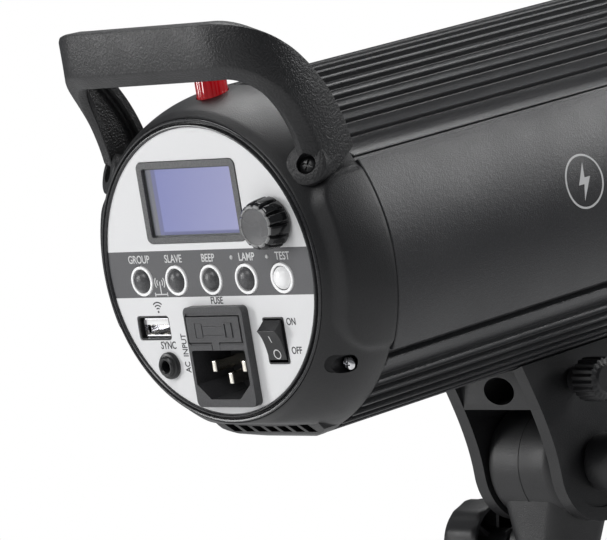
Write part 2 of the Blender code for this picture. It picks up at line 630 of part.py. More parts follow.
def make_light():
    dish = [(0.0530, 0.2440), (0.0530, 0.2430), (0.0460, DISH_Y - 0.0016), (0.0200, DISH_Y - 0.0016),
            (0.0200, DISH_Y), (0.0455, DISH_Y)]
    centre = (0, 0, BODY_CENTRE_Z)
    part("front_dish", turned(dish[::-1], steps=LARGE, closed=True), MIRROR, HEAD, centre)

    gap_angle = 22
    path = [(x, TUBE_Y, z) for x, z in arc((0, 0), TUBE_R, 270 + gap_angle, 630 - gap_angle, 28)]
    first = path[0]
    last = path[-1]
    path = [(first[0], 0.2440, first[2]), (first[0], 0.2530, first[2])] + path[1:-1]
    path += [(last[0], 0.2530, last[2]), (last[0], 0.2440, last[2])]
    part("flash_tube", wire(path, TUBE_GLASS_R), GLASS, HEAD, centre)
    for side, end in ((1, first), (-1, last)):
        post = [(0, DISH_Y + GAP), (0.0030, DISH_Y + GAP), (0.0060, DISH_Y + GAP), (0.0055, 0.2500),
                (TUBE_GLASS_R + GAP, 0.2500), (TUBE_GLASS_R + GAP, 0.2436), (0, 0.2436)]
        part("tube_post_" + SIDES[side], turned(post[::-1], steps=SMALL), CERAMIC, HEAD,
             (end[0], 0, BODY_CENTRE_Z + end[2]))

    socket = [(0, 0.2040), (0.0150, 0.2040), (0.0185, 0.2080), (0.0185, 0.2420), (0.0142, 0.2420),
              (0.0142, 0.2180), (0, 0.2180)]
    part("lamp_socket", turned(socket[::-1], steps=MEDIUM), CERAMIC, HEAD, centre)
    base = [(0, 0.2190), (0.0050, 0.2190), (0.0100, 0.2220), (0.0132, 0.2240), (0.0132, 0.2450), (0, 0.2450)]
    part("lamp_base", turned(base[::-1], steps=MEDIUM), BRASS, HEAD, centre)
    glass = [(0, 0.2453), (0.0128, 0.2453), (0.0140, 0.2520), (LAMP_R, 0.2600)]
    for radius, y in arc((0, LAMP_END_Y - LAMP_R), LAMP_R, 0, 90, 6)[:-1]:
        glass.append((radius, y))
    glass.append((0, LAMP_END_Y))
    part("modelling_lamp", turned(glass[::-1], steps=MEDIUM), GLASS, HEAD, centre)


# ================================================================ inside
def make_inside():
    fan = part("fan_frame", box(FAN_SIZE, FAN_DEPTH, FAN_SIZE), BLACK_PLASTIC, HEAD,
               (0, FAN_Y, BODY_CENTRE_Z))
    cut(fan, rod(0.0285, 0.0300, sides=MEDIUM), (0, FAN_Y, BODY_CENTRE_Z))
    fuse(fan, rod(0.0110, 0.0030, sides=SMALL), (0, FAN_Y + 0.0060, BODY_CENTRE_Z))
    for width, height in ((0.0590, 0.0030), (0.0030, 0.0590)):
        fuse(fan, box(width, 0.0020, height), (0, FAN_Y + 0.0060, BODY_CENTRE_Z))
    rotor = part("fan_rotor", rod(0.0120, 0.0100, sides=MEDIUM), GREY_PLASTIC, HEAD,
                 (0, FAN_Y - 0.0015, BODY_CENTRE_Z))
    for i in range(FAN_BLADES):
        angle = 2 * math.pi * i / FAN_BLADES
        at = (0.0190 * math.cos(angle), FAN_Y - 0.0015, BODY_CENTRE_Z + 0.0190 * math.sin(angle))
        blade = box(0.0170, 0.0012, 0.0120)
        blade.transform(Matrix.Rotation(math.radians(32), 4, "X"))
        fuse(rotor, blade, at, (0, -angle, 0))

    for side in (-1, 1):
        part("capacitor_" + SIDES[side], rod(CAPACITOR_R, 0.0950, sides=MEDIUM), GREY_PLASTIC, HEAD,
             (side * 0.0195, 0.1120, 0.0200))
    part("power_board", box(0.0840, 0.1380, 0.0016), BOARD_GREEN, HEAD, (0, 0.1310, -0.0232))
    part("charge_transformer", box(0.0280, 0.0280, 0.0240, 0.0010, 1), STEEL, HEAD, (0, 0.1800, -0.0101))
    plate = part("chassis_plate", box(0.0360, 0.1700, 0.0020), STEEL, HEAD, (0, 0.1280, -0.0510))
    for x, y in YOKE_SCREWS:
        cut(plate, rod(0.0023, 0.0200, "Z"), (x, y, -0.0510))


# ================================================================ bracket
def make_yoke():
    """Saddle under the body with two cheeks that hold the knuckle between them."""
    yoke = part("yoke", box(2 * CHEEK_OUTER_X, SADDLE_LENGTH, 0.0210), BLACK_PLASTIC, HEAD,
                (0, SADDLE_BACK_Y + SADDLE_LENGTH / 2, SADDLE_BOTTOM_Z + 0.0105))
    cheek = [(-0.0319, 0.0415), (-0.0277, 0.0304), (-0.0247, 0.0226), (-0.0222, 0.0141)]
    cheek += [(-0.0209, 0.0059)] + arc((0, 0), CHEEK_R, 180, 360, 12)
    cheek += [(0.0225, 0.0120), (0.0280, 0.0280), (0.0340, 0.0415)]
    for side in (-1, 1):
        middle = (CHEEK_INNER_X + CHEEK_OUTER_X) / 2
        fuse(yoke, slab([cheek], CHEEK_OUTER_X - CHEEK_INNER_X, "X"), (side * middle, PIVOT_Y, PIVOT_Z))
    cut(yoke, rod(BODY_RIB_R + GAP, 0.0900, sides=LARGE), (0, PIVOT_Y, BODY_CENTRE_Z))
    cut(yoke, rod(UMBRELLA_BORE_R, 0.1000, sides=MEDIUM), (0, PIVOT_Y, UMBRELLA_Z))
    cut(yoke, rod(BOLT_R + GAP, 0.0600, "X"), (0, PIVOT_Y, PIVOT_Z))
    cut(yoke, rod(0.0028, 0.0300, "X"), (0.0180, UMBRELLA_SCREW_Y, UMBRELLA_Z))
    for side, (x, y) in zip((-1, 1), YOKE_SCREWS):
        cut(yoke, rod(0.0023, 0.0300, "Z"), (x, y, YOKE_SCREW_Z))
        cut(yoke, rod(0.0042, 0.0120, "Z"), (x, y, YOKE_SCREW_Z - 0.0060))
        screw = screw_mesh(0.0036, 0.0026, 0.0020, 0.0200, "Z")
        part("yoke_screw_" + SIDES[side], screw, STEEL, HEAD, (x, y, YOKE_SCREW_Z - GAP))

    bolt_profile = [(0, 0.0330), (BOLT_R, 0.0330), (BOLT_R, -CHEEK_OUTER_X - GAP)]
    bolt_profile += [(0.0062, -CHEEK_OUTER_X - GAP), (0.0062, -0.0240), (0.0040, -0.0260), (0, -0.0260)]
    part("tilt_bolt", turned(bolt_profile, "X", 20), STEEL, HEAD, (0, PIVOT_Y, PIVOT_Z))

    hub_x = CHEEK_OUTER_X + 0.0005
    lever = part("tilt_lever", turned([(0.0070, hub_x + 0.0140), (0.0095, hub_x + 0.0120),
                                       (0.0100, hub_x), (BOLT_R + GAP, hub_x),
                                       (BOLT_R + GAP, hub_x + 0.0140)], "X", 24, True),
                 BLACK_PLASTIC, HEAD, (0, PIVOT_Y, PIVOT_Z))
    droop = math.radians(-20)
    arm = slab([arc((0.0090, 0), 0.0055, 90, 270, 6) + arc((LEVER_LENGTH, 0), 0.0065, -90, 90, 8)],
               0.0070, "X")
    arm.transform(Matrix.Rotation(droop, 4, "X"))
    fuse(lever, arm, (hub_x + 0.0090, PIVOT_Y, PIVOT_Z))
    cut(lever, rod(BOLT_R + GAP, 0.0500, "X"), (hub_x, PIVOT_Y, PIVOT_Z))

    thumb = [(0, 0.0360), (0.0060, 0.0360), (0.0075, 0.0345), (0.0075, 0.0260), (0.0050, 0.0240),
             (0.0050, 0.0212), (0.0025, 0.0212), (0.0025, 0.0049), (0, 0.0049)]
    part("umbrella_screw", turned(thumb, "X", 20), BLACK_PLASTIC, HEAD, (0, UMBRELLA_SCREW_Y, UMBRELLA_Z))


def make_adapter():
    block = [(0, TILT_HEIGHT), (0.0148, TILT_HEIGHT), (0.0148, 0.0060), (0.0132, -0.0060),
             (0.0120, -0.0220), (0.0120, -0.0370), (0.0113, -SOCKET_DEPTH), (0, -SOCKET_DEPTH)]
    adapter = part("stand_adapter", turned(block, "Z", MEDIUM), BLACK_PLASTIC)
    fuse(adapter, rod(KNUCKLE_R, KNUCKLE_WIDTH, "X", MEDIUM), (0, 0, TILT_HEIGHT))
    fuse(adapter, rod(0.0070, 0.0090, "X", 24), (-0.0130, 0, CLAMP_Z))
    cut(adapter, rod(SPIGOT_BORE_R, SOCKET_DEPTH + THROUGH, "Z", MEDIUM),
        (0, 0, -(SOCKET_DEPTH + THROUGH) / 2))
    cut(adapter, rod(BOLT_R + GAP, 0.0500, "X"), (0, 0, TILT_HEIGHT))
    cut(adapter, rod(CLAMP_PAD_R + GAP, 0.0086, "X", 20), (-0.0103, 0, CLAMP_Z))
    cut(adapter, rod(CLAMP_SCREW_R + GAP, 0.0150, "X", 20), (-0.0145, 0, CLAMP_Z))

    part("clamp_pad", turned([(0, -0.0084), (CLAMP_PAD_R, -0.0084), (CLAMP_PAD_R, -0.0112), (0, -0.0112)],
                             "X", 20), BRASS, None, (0, 0, CLAMP_Z))
    rim = CLAMP_PAD_R + 0.0008
    knob = [(0, -0.0115), (CLAMP_SCREW_R, -0.0115), (CLAMP_SCREW_R, -0.0205), (rim, -0.0205),
            (rim, -0.0320), (0.0120, -0.0320), (0.0128, -0.0262), (KNOB_R - 0.0008, -0.0260),
            (KNOB_R, -0.0275), (KNOB_R, -0.0400), (KNOB_R - 0.0020, -0.0420), (0, -0.0420)]
    part("stand_knob", turned(knob, "X", MEDIUM), BLACK_PLASTIC, None, (0, 0, CLAMP_Z))


# ================================================================ assembly
clear_scene()
PARTS = new_collection("monolight_strobe")
CUTTERS = new_collection("cutters")
SIDES = {-1: "left", 1: "right"}
YOKE_SCREWS = ((-0.0115, 0.1340), (0.0115, 0.1720))

BLACK_PLASTIC = look("black_plastic", (0.030, 0.030, 0.033), 0.55)
BLACK_PAINT = look("black_paint", (0.040, 0.040, 0.045), 0.42, 0.3)
GREY_PLASTIC = look("grey_plastic", (0.12, 0.12, 0.13), 0.45)
PALE_PLASTIC = look("pale_plastic", (0.72, 0.73, 0.74), 0.45)
WHITE_PLASTIC = look("white_plastic", (0.85, 0.85, 0.84), 0.35)
RED = look("red_lens", (0.75, 0.02, 0.03), 0.15)
GLASS = look("glass", (0.55, 0.58, 0.75), 0.08)
STEEL = look("steel", (0.45, 0.45, 0.46), 0.35, 1.0)
CHROME = look("chrome", (0.75, 0.75, 0.76), 0.15, 1.0)
BRASS = look("brass", (0.70, 0.55, 0.28), 0.30, 1.0)
MIRROR = look("reflector", (0.85, 0.85, 0.86), 0.12, 1.0)
CERAMIC = look("ceramic", (0.80, 0.79, 0.75), 0.40)
BOARD_GREEN = look("board_green", (0.03, 0.20, 0.08), 0.50)

HEAD = empty("head_frame",
             (0,
              -PIVOT_Y * math.cos(NOSE_UP) + PIVOT_Z * math.sin(NOSE_UP),
              TILT_HEIGHT - PIVOT_Y * math.sin(NOSE_UP) - PIVOT_Z * math.cos(NOSE_UP)),
             (NOSE_UP, 0, 0))

make_body()
make_cap()
make_handle()
make_panel()
make_encoder()
make_ports()
make_switch()
make_front()
make_light()
make_inside()
make_yoke()
make_adapter()
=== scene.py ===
"""Looks of the monolight strobe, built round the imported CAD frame.

Lengths are in millimetres until a mesh becomes a piece, and the head's pieces
are drawn in the head frame: origin at the centre of the control panel, +X to
the operator's right, +Y along the beam, +Z towards the handle.
"""

import json
import math

import bmesh
import bpy
from mathutils import Euler, Matrix, Vector


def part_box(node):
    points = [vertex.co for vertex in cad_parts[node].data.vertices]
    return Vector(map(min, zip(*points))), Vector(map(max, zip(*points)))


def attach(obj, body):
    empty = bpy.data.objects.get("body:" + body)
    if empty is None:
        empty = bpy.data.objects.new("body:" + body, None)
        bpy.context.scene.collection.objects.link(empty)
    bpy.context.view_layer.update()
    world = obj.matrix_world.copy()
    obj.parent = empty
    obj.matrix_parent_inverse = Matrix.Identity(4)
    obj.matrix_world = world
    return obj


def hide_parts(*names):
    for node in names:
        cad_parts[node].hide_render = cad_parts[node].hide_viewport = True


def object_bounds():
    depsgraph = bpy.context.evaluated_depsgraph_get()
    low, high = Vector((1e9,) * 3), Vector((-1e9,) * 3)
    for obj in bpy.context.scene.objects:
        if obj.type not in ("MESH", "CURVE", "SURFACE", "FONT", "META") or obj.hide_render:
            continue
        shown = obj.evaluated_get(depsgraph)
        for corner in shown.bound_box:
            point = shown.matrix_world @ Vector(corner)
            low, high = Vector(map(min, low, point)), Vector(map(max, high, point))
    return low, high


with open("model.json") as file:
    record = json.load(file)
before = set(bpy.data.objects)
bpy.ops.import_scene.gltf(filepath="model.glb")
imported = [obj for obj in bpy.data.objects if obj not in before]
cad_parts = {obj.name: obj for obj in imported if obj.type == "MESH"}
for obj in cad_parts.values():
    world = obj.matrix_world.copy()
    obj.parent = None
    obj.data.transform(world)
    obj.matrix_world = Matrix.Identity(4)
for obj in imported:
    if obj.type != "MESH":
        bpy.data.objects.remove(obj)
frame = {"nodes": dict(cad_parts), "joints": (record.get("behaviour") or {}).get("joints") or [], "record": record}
cad_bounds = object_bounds()

MM = 0.001
RECORD = frame["record"]
MOUNTS = {mount["name"]: mount for mount in RECORD["mounts"]}
SIDES = {-1: "left", 1: "right"}


# ================================================================ frames
def head_matrix():
    """The head frame in the world, from the bayonet's axis and the panel's centre."""
    panel_half_thickness = 1.2 * MM
    beam = Vector(MOUNTS["bayonet_face"]["axis"]).normalized()
    low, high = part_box("control_panel")
    origin = (low + high) / 2 - beam * panel_half_thickness
    right = Vector((1, 0, 0))
    axes = Matrix((right, beam, right.cross(beam))).transposed().to_4x4()
    return Matrix.Translation(origin) @ axes


HEAD = head_matrix()
STAND = Matrix.Identity(4)


def box_in(place, node):
    """Lowest and highest corner of a CAD node along a frame's own axes, in millimetres."""
    inverse = place.inverted()
    points = [inverse @ vertex.co for vertex in frame["nodes"][node].data.vertices]
    low = Vector([min(p[i] for p in points) for i in range(3)])
    high = Vector([max(p[i] for p in points) for i in range(3)])
    return low / MM, high / MM


def middle_in(place, node):
    low, high = box_in(place, node)
    return (low + high) / 2


def joint_place(name):
    """Where a joint's axis passes, in the stand frame."""
    joint = next(row for row in frame["joints"] if row["name"] == name)
    return Vector(joint["pos_m"]) / MM


def tilt_pivot():
    """The tilt axis in the head frame."""
    return HEAD.inverted() @ (joint_place("head_tilt") * MM) / MM


# ================================================================ mesh tools
def finished(shape, name="shape"):
    bmesh.ops.remove_doubles(shape, verts=shape.verts, dist=0.0005)
    bmesh.ops.dissolve_degenerate(shape, edges=shape.edges, dist=0.0001)
    bmesh.ops.recalc_face_normals(shape, faces=shape.faces)
    mesh = bpy.data.meshes.new(name)
    shape.to_mesh(mesh)
    shape.free()
    return mesh


def loft(rings, loop=False):
    """Closed skin over rings of points; a loop of rings has no ends."""
    shape = bmesh.new()
    rows = [[shape.verts.new(point) for point in ring] for ring in rings]
    pairs = list(zip(rows, rows[1:]))
    if loop:
        pairs.append((rows[-1], rows[0]))
    for first, second in pairs:
        for i in range(len(first)):
            j = (i + 1) % len(first)
            shape.faces.new((first[i], first[j], second[j], second[i]))
    if not loop:
        shape.faces.new(rows[0])
        shape.faces.new(rows[-1][::-1])
    return finished(shape)


def turned(profile, steps=64, at=(0, 0), axis="Y", closed=False, swell=None):
    """A turned shape from (radius, place along the axis) points.  swell changes a
    radius by angle and place."""
    rings = []
    for radius, place in profile:
        ring = []
        for i in range(steps):
            angle = 2 * math.pi * i / steps
            r = max(radius, 0.001)
            if swell:
                r += swell(angle, radius, place)
            u = at[0] + r * math.sin(angle)
            v = at[1] + r * math.cos(angle)
            ring.append({"X": (place, u, v), "Y": (u, place, v), "Z": (u, v, place)}[axis])
        rings.append(ring)
    return loft(rings, loop=closed)


def arc(centre, radius, start, end, steps):
    """Points on an arc, angles in degrees."""
    points = []
    for i in range(steps + 1):
        angle = math.radians(start + (end - start) * i / steps)
        points.append((centre[0] + radius * math.cos(angle),
                       centre[1] + radius * math.sin(angle)))
    return points


def circle(centre, radius, steps=48):
    return arc(centre, radius, 0, 360, steps)[:-1]


def rounded(centre, size, radius, steps=5):
    half_w = size[0] / 2 - radius
    half_h = size[1] / 2 - radius
    points = []
    for i, (sx, sy) in enumerate(((1, 1), (-1, 1), (-1, -1), (1, -1))):
        corner = (centre[0] + sx * half_w, centre[1] + sy * half_h)
        points += arc(corner, radius, 90 * i, 90 * i + 90, steps)
    return points


def bezier(a, b, c, d, steps):
    points = []
    for i in range(steps + 1):
        t = i / steps
        s = 1 - t
        weights = (s ** 3, 3 * s * s * t, 3 * s * t * t, t ** 3)
        points.append(tuple(sum(w * p[k] for w, p in zip(weights, (a, b, c, d)))
                            for k in range(len(a))))
    return points


def smooth_step(value):
    value = min(max(value, 0), 1)
    return value * value * (3 - 2 * value)


AXES = {
    "X": Matrix(((0, 0, 1, 0), (1, 0, 0, 0), (0, 1, 0, 0), (0, 0, 0, 1))),
    "Y": Matrix.Rotation(math.pi / 2, 4, "X"),
    "Z": Matrix.Identity(4),
}


def evaluated(obj):
    """A helper object's evaluated mesh; the object is removed."""
    if not obj.users_collection:
        bpy.context.scene.collection.objects.link(obj)
    graph = bpy.context.evaluated_depsgraph_get()
    mesh = bpy.data.meshes.new_from_object(obj.evaluated_get(graph))
    bpy.data.objects.remove(obj)
    return mesh


def plate(outlines, start, end, axis="Y"):
    """Flat plate with holes between two places on an axis.  Outlines are (x, z) across
    Y, (y, z) across X and (x, y) across Z."""
    curve = bpy.data.curves.new("outline", "CURVE")
    curve.dimensions = "2D"
    curve.fill_mode = "BOTH"
    curve.extrude = abs(end - start) / 2
    for outline in outlines:
        spline = curve.splines.new("POLY")
        spline.points.add(len(outline) - 1)
        for point, (u, v) in zip(spline.points, outline):
            point.co = (u, v, 0, 1)
        spline.use_cyclic_u = True
    mesh = evaluated(bpy.data.objects.new("outline", curve))
    shape = bmesh.new()
    shape.from_mesh(mesh)
    shape.transform(AXES[axis])
    shift = [0, 0, 0]
    shift["XYZ".index(axis)] = (start + end) / 2
    bmesh.ops.translate(shape, verts=shape.verts, vec=shift)
    return finished(shape)


def side_plate(outline, side, inner, outer):
    """Plate across X, on one side of the middle."""
    return plate([outline], *sorted((side * inner, side * outer)), "X")


def hollow_plate(centre, outer, inner, start, end):
    """Rounded rectangular frame; outer and inner are (width, height, corner radius)."""
    outlines = [rounded(centre, size[:2], size[2]) for size in (outer, inner)]
    return plate(outlines, start, end)


def wire(points, radius, resolution):
    """Round wire or tube along a path."""
    curve = bpy.data.curves.new("wire", "CURVE")
    curve.dimensions = "3D"
    curve.bevel_depth = radius
    curve.bevel_resolution = resolution
    curve.use_fill_caps = True
    spline = curve.splines.new("POLY")
    spline.points.add(len(points) - 1)
    for knot, point in zip(spline.points, points):
        knot.co = (*point, 1)
    return evaluated(bpy.data.objects.new("wire", curve))


def block(low, high):
    shape = bmesh.new()
    size = [b - a for a, b in zip(low, high)]
    middle = [(a + b) / 2 for a, b in zip(low, high)]
    matrix = Matrix.Translation(middle) @ Matrix.Diagonal((*size, 1))
    bmesh.ops.create_cube(shape, size=1, matrix=matrix)
    return finished(shape)


def joined(*meshes):
    """Several meshes as one, their shells left separate."""
    shape = bmesh.new()
    for mesh in meshes:
        shape.from_mesh(mesh)
    merged = bpy.data.meshes.new("joined")
    shape.to_mesh(merged)
    shape.free()
    return merged


def moved(mesh, vector=(0, 0, 0), turn=0.0, axis="X"):
    mesh.transform(Matrix.Translation(vector) @ Matrix.Rotation(math.radians(turn), 4, axis))
    return mesh


def boolean(mesh, tool, operation):
    body = bpy.data.objects.new("body", mesh)
    cutter = bpy.data.objects.new("cutter", tool)
    for obj in (body, cutter):
        bpy.context.scene.collection.objects.link(obj)
    modifier = body.modifiers.new("boolean", "BOOLEAN")
    modifier.operation = operation
    modifier.object = cutter
    result = evaluated(body)
    bpy.data.objects.remove(cutter)
    return result


def cut(mesh, *tools):
    for tool in tools:
        mesh = boolean(mesh, tool, "DIFFERENCE")
    return mesh


def fused(mesh, *tools):
    for tool in tools:
        mesh = boolean(mesh, tool, "UNION")
    return mesh


def round_edges(obj, width, segments, angle):
    modifier = obj.modifiers.new("rounded_edges", "BEVEL")
    modifier.width = width * MM
    modifier.segments = segments
    modifier.limit_method = "ANGLE"
    modifier.angle_limit = math.radians(angle)
    modifier.harden_normals = True


def piece(name, mesh, finish, body="head", nodes=(), place=HEAD, bevel=0.0, segments=2,
          sharp=35):
    """One visible piece: placed, shaded, given its finish, and riding its body."""
    mesh.transform(Matrix.Scale(MM, 4))
    mesh.materials.clear()
    mesh.materials.append(finish)
    mesh.shade_smooth()
    if not bevel:
        mesh.set_sharp_from_angle(angle=math.radians(sharp))
    obj = bpy.data.objects.new(name, mesh)
    bpy.context.scene.collection.objects.link(obj)
    obj.matrix_world = place
    if bevel:
        round_edges(obj, bevel, segments, sharp)
    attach(obj, body)
    if nodes:
        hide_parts(*nodes)
    return obj


# ================================================================ finishes
class Finish:
    """A material under construction: a Principled shader and the nodes that drive it."""

    def __init__(self, name, colour, roughness, metallic=0.0):
        self.material = bpy.data.materials.new(name)
        self.material.use_nodes = True
        self.tree = self.material.node_tree
        self.shader = self.tree.nodes["Principled BSDF"]
        self.coords = self.add("ShaderNodeTexCoord").outputs["Object"]
        self.last_bump = None
        self.set("Base Color", (*colour, 1))
        self.set("Roughness", roughness)
        self.set("Metallic", metallic)

    def add(self, kind, **inputs):
        node = self.tree.nodes.new(kind)
        for name, value in inputs.items():
            self.feed(node.inputs[name.replace("_", " ")], value)
        return node

    def feed(self, socket, value):
        if isinstance(value, bpy.types.NodeSocket):
            self.tree.links.new(value, socket)
        else:
            socket.default_value = value

    def set(self, name, value):
        self.feed(self.shader.inputs[name], value)
        return self

    def noise(self, grain_mm, detail=3.0, stretch=None):
        coords = self.coords
        if stretch:
            mapping = self.add("ShaderNodeMapping", Vector=coords, Scale=stretch)
            coords = mapping.outputs["Vector"]
        node = self.add("ShaderNodeTexNoise", Vector=coords, Scale=1 / (grain_mm * MM), Detail=detail)
        return node.outputs["Fac"]

    def ramp(self, value, low, high, to_low, to_high):
        node = self.tree.nodes.new("ShaderNodeMapRange")
        for i, item in enumerate((value, low, high, to_low, to_high)):
            self.feed(node.inputs[i], item)
        return node.outputs["Result"]

    def maths(self, operation, *values):
        node = self.tree.nodes.new("ShaderNodeMath")
        node.operation = operation
        for i, value in enumerate(values):
            self.feed(node.inputs[i], value)
        return node.outputs["Value"]

    def mix(self, share, first, second):
        node = self.tree.nodes.new("ShaderNodeMix")
        node.data_type = "RGBA"
        self.feed(node.inputs[0], share)
        for socket, colour in ((node.inputs[6], first), (node.inputs[7], second)):
            self.feed(socket, colour if isinstance(colour, bpy.types.NodeSocket) else (*colour, 1))
        return node.outputs[2]

    def split(self):
        return self.add("ShaderNodeSeparateXYZ", Vector=self.coords).outputs

    def bump(self, height, depth_mm):
        node = self.add("ShaderNodeBump", Height=height, Distance=depth_mm * MM, Strength=1.0)
        if self.last_bump:
            self.tree.links.new(self.last_bump, node.inputs["Normal"])
        self.last_bump = node.outputs["Normal"]
        self.set("Normal", self.last_bump)
        return self


def moulded_plastic(name, colour, roughness, grain_mm=0.55, depth_mm=0.05, shine=0.5, mottle=0.22,
                    glow=0.0):
    """Moulded plastic with a spark-eroded grain and a little cloudiness in its gloss."""
    finish = Finish(name, colour, roughness)
    grain = finish.noise(grain_mm, 2.0)
    cloud = finish.noise(14.0, 2.0)
    darker = tuple(c * (1 - mottle) for c in colour)
    lighter = tuple(min(c * (1 + mottle), 1) for c in colour)
    finish.set("Base Color", finish.mix(finish.ramp(grain, 0.35, 0.65, 0.0, 1.0), darker, lighter))
    finish.set("Roughness", finish.ramp(cloud, 0.3, 0.7, roughness - 0.05, roughness + 0.06))
    finish.set("Specular IOR Level", shine)
    finish.bump(finish.ramp(grain, 0.38, 0.62, 0.0, 1.0), depth_mm)
    # glow is painted light: an emitted brightness on plastic that is no lamp.
    if glow:
        finish.set("Emission Color", (*colour, 1))
        finish.set("Emission Strength", glow)
    return finish.material


def powder_coat(name, colour, roughness):
    """Fine-textured satin paint over metal."""
    finish = Finish(name, colour, roughness)
    orange_peel = finish.noise(1.6, 2.0)
    speckle = finish.noise(0.42, 1.0)
    cloud = finish.noise(30.0, 2.0)
    paler = tuple(c * 1.9 for c in colour)
    finish.set("Base Color", finish.mix(finish.ramp(speckle, 0.52, 0.72, 0.0, 1.0), colour, paler))
    finish.set("Roughness", finish.ramp(cloud, 0.3, 0.7, roughness - 0.04, roughness + 0.05))
    finish.set("Specular IOR Level", 0.6)
    finish.bump(orange_peel, 0.05)
    finish.bump(finish.ramp(speckle, 0.4, 0.65, 0.0, 1.0), 0.028)
    return finish.material


def metal(name, colour, roughness, brushed=None):
    """Metal with fine brushing along one axis, or a cloudy plated surface."""
    finish = Finish(name, colour, roughness, 1.0)
    streaks = finish.noise(0.35, 3.0, brushed or (1, 1, 1))
    finish.set("Roughness", finish.ramp(streaks, 0.3, 0.7, roughness * 0.75, roughness * 1.35))
    finish.set("Base Color", finish.mix(streaks, tuple(c * 0.86 for c in colour), colour))
    finish.bump(streaks, 0.008)
    return finish.material


def printed_ink(name, colour):
    finish = Finish(name, colour, 0.5)
    mottle = finish.noise(0.25, 2.0)
    finish.set("Base Color", finish.mix(mottle, tuple(c * 0.9 for c in colour), colour))
    finish.bump(mottle, 0.006)
    return finish.material


def clear_glass(name, colour, roughness=0.02, transmission=1.0):
    finish = Finish(name, colour, roughness)
    smear = finish.noise(9.0, 2.0)
    finish.set("Transmission Weight", transmission)
    finish.set("IOR", 1.46)
    finish.set("Roughness", finish.ramp(smear, 0.3, 0.7, roughness, roughness + 0.05))
    return finish.material


def glazed(name, colour, roughness=0.3):
    finish = Finish(name, colour, roughness)
    mottle = finish.noise(2.5, 3.0)
    finish.set("Base Color", finish.mix(mottle, tuple(c * 0.92 for c in colour), colour))
    finish.set("Coat Weight", 0.5)
    finish.bump(mottle, 0.02)
    return finish.material


def circuit_board(name):
    """Green solder mask with the faint relief of tracks."""
    finish = Finish(name, (0.02, 0.12, 0.05), 0.4)
    tracks = finish.noise(2.0, 1.0, (1, 0.2, 1))
    lines = finish.ramp(tracks, 0.48, 0.52, 0.0, 1.0)
    finish.set("Base Color", finish.mix(lines, (0.015, 0.10, 0.04), (0.04, 0.22, 0.09)))
    finish.bump(lines, 0.03)
    return finish.material


def red_lens(name):
    finish = Finish(name, (0.62, 0.004, 0.012), 0.08)
    depth = finish.noise(3.0, 2.0, (1, 1, 0.3))
    finish.set("Base Color", finish.mix(depth, (0.30, 0.0, 0.004), (0.85, 0.01, 0.02)))
    finish.set("Transmission Weight", 0.35)
    finish.set("Coat Weight", 1.0)
    finish.set("Coat Roughness", 0.03)
    # Painted glow: the red lens is no lamp, its emission only brightens it.
    finish.set("Emission Color", (0.9, 0.01, 0.02, 1))
    finish.set("Emission Strength", 0.12)
    return finish.material


def panel_overlay(name, band):
    """Pale printed film with a dark band between two heights."""
    pale = (0.80, 0.80, 0.805)
    dark = (0.115, 0.115, 0.12)
    finish = Finish(name, pale, 0.42)
    height = finish.split()["Z"]
    above = finish.maths("GREATER_THAN", height, band[0] * MM)
    below = finish.maths("LESS_THAN", height, band[1] * MM)
    inside = finish.maths("MULTIPLY", above, below)
    film = finish.noise(0.5, 3.0)
    pale_film = finish.mix(film, tuple(c * 0.965 for c in pale), tuple(c * 1.02 for c in pale))
    dark_film = finish.mix(film, tuple(c * 0.85 for c in dark), tuple(c * 1.12 for c in dark))
    colour = finish.tree.nodes.new("ShaderNodeMix")
    colour.data_type = "RGBA"
    finish.feed(colour.inputs[0], inside)
    finish.feed(colour.inputs[6], pale_film)
    finish.feed(colour.inputs[7], dark_film)
    finish.set("Base Color", colour.outputs[2])
    finish.set("Specular IOR Level", 0.35)
    finish.bump(film, 0.012)
    return finish.material


def lit_display(name, field):
    """Liquid-crystal display: a backlit blue-violet field between two corners. Down its left side it glows in a
    grey strip of painted light, standing for the lit wall of its recess, and a dimmer strip of painted shade; a
    dimmer strip of painted shade runs along its lower edge."""
    left, right, bottom, top = (edge * MM for edge in field)
    finish = Finish(name, (0.10, 0.105, 0.105), 0.25)
    axes = finish.split()
    inside = 1.0
    for axis, low, high in (("X", left, right), ("Z", bottom, top)):
        rising = finish.ramp(axes[axis], low, low + 0.25 * MM, 0.0, 1.0)
        falling = finish.ramp(axes[axis], high - 0.25 * MM, high, 1.0, 0.0)
        inside = finish.maths("MULTIPLY", inside, finish.maths("MULTIPLY", rising, falling))
    across = finish.ramp(axes["X"], left, right, 0.0, 1.0)
    colour = finish.mix(across, (0.190, 0.210, 0.460), (0.300, 0.310, 0.530))
    # Painted light and shade in emitted strips: grey at the left edge for the lit recess wall, dimmer blue beside
    # it and along the bottom for shade from the bezel.
    for axis, start, painted_strip_colour in (("Z", bottom + 0.9 * MM, (0.110, 0.120, 0.260)),
                                      ("X", left + 4.3 * MM, (0.135, 0.145, 0.290)),
                                      ("X", left + 2.4 * MM, (0.150, 0.155, 0.175))):
        painted_strip = finish.ramp(axes[axis], start, start + 0.5 * MM, 1.0, 0.0)
        colour = finish.mix(painted_strip, colour, painted_strip_colour)
    border = (0.075, 0.080, 0.082)
    finish.set("Base Color", finish.mix(inside, border, (0.02, 0.02, 0.03)))
    finish.set("Emission Color", colour)
    finish.set("Emission Strength", finish.maths("MULTIPLY", inside, 0.9))
    finish.set("Coat Weight", 0.3)
    finish.set("Coat Roughness", 0.12)
    rows = finish.noise(0.35, 0.0, (0.2, 1, 1))
    finish.bump(rows, 0.002)
    return finish.material


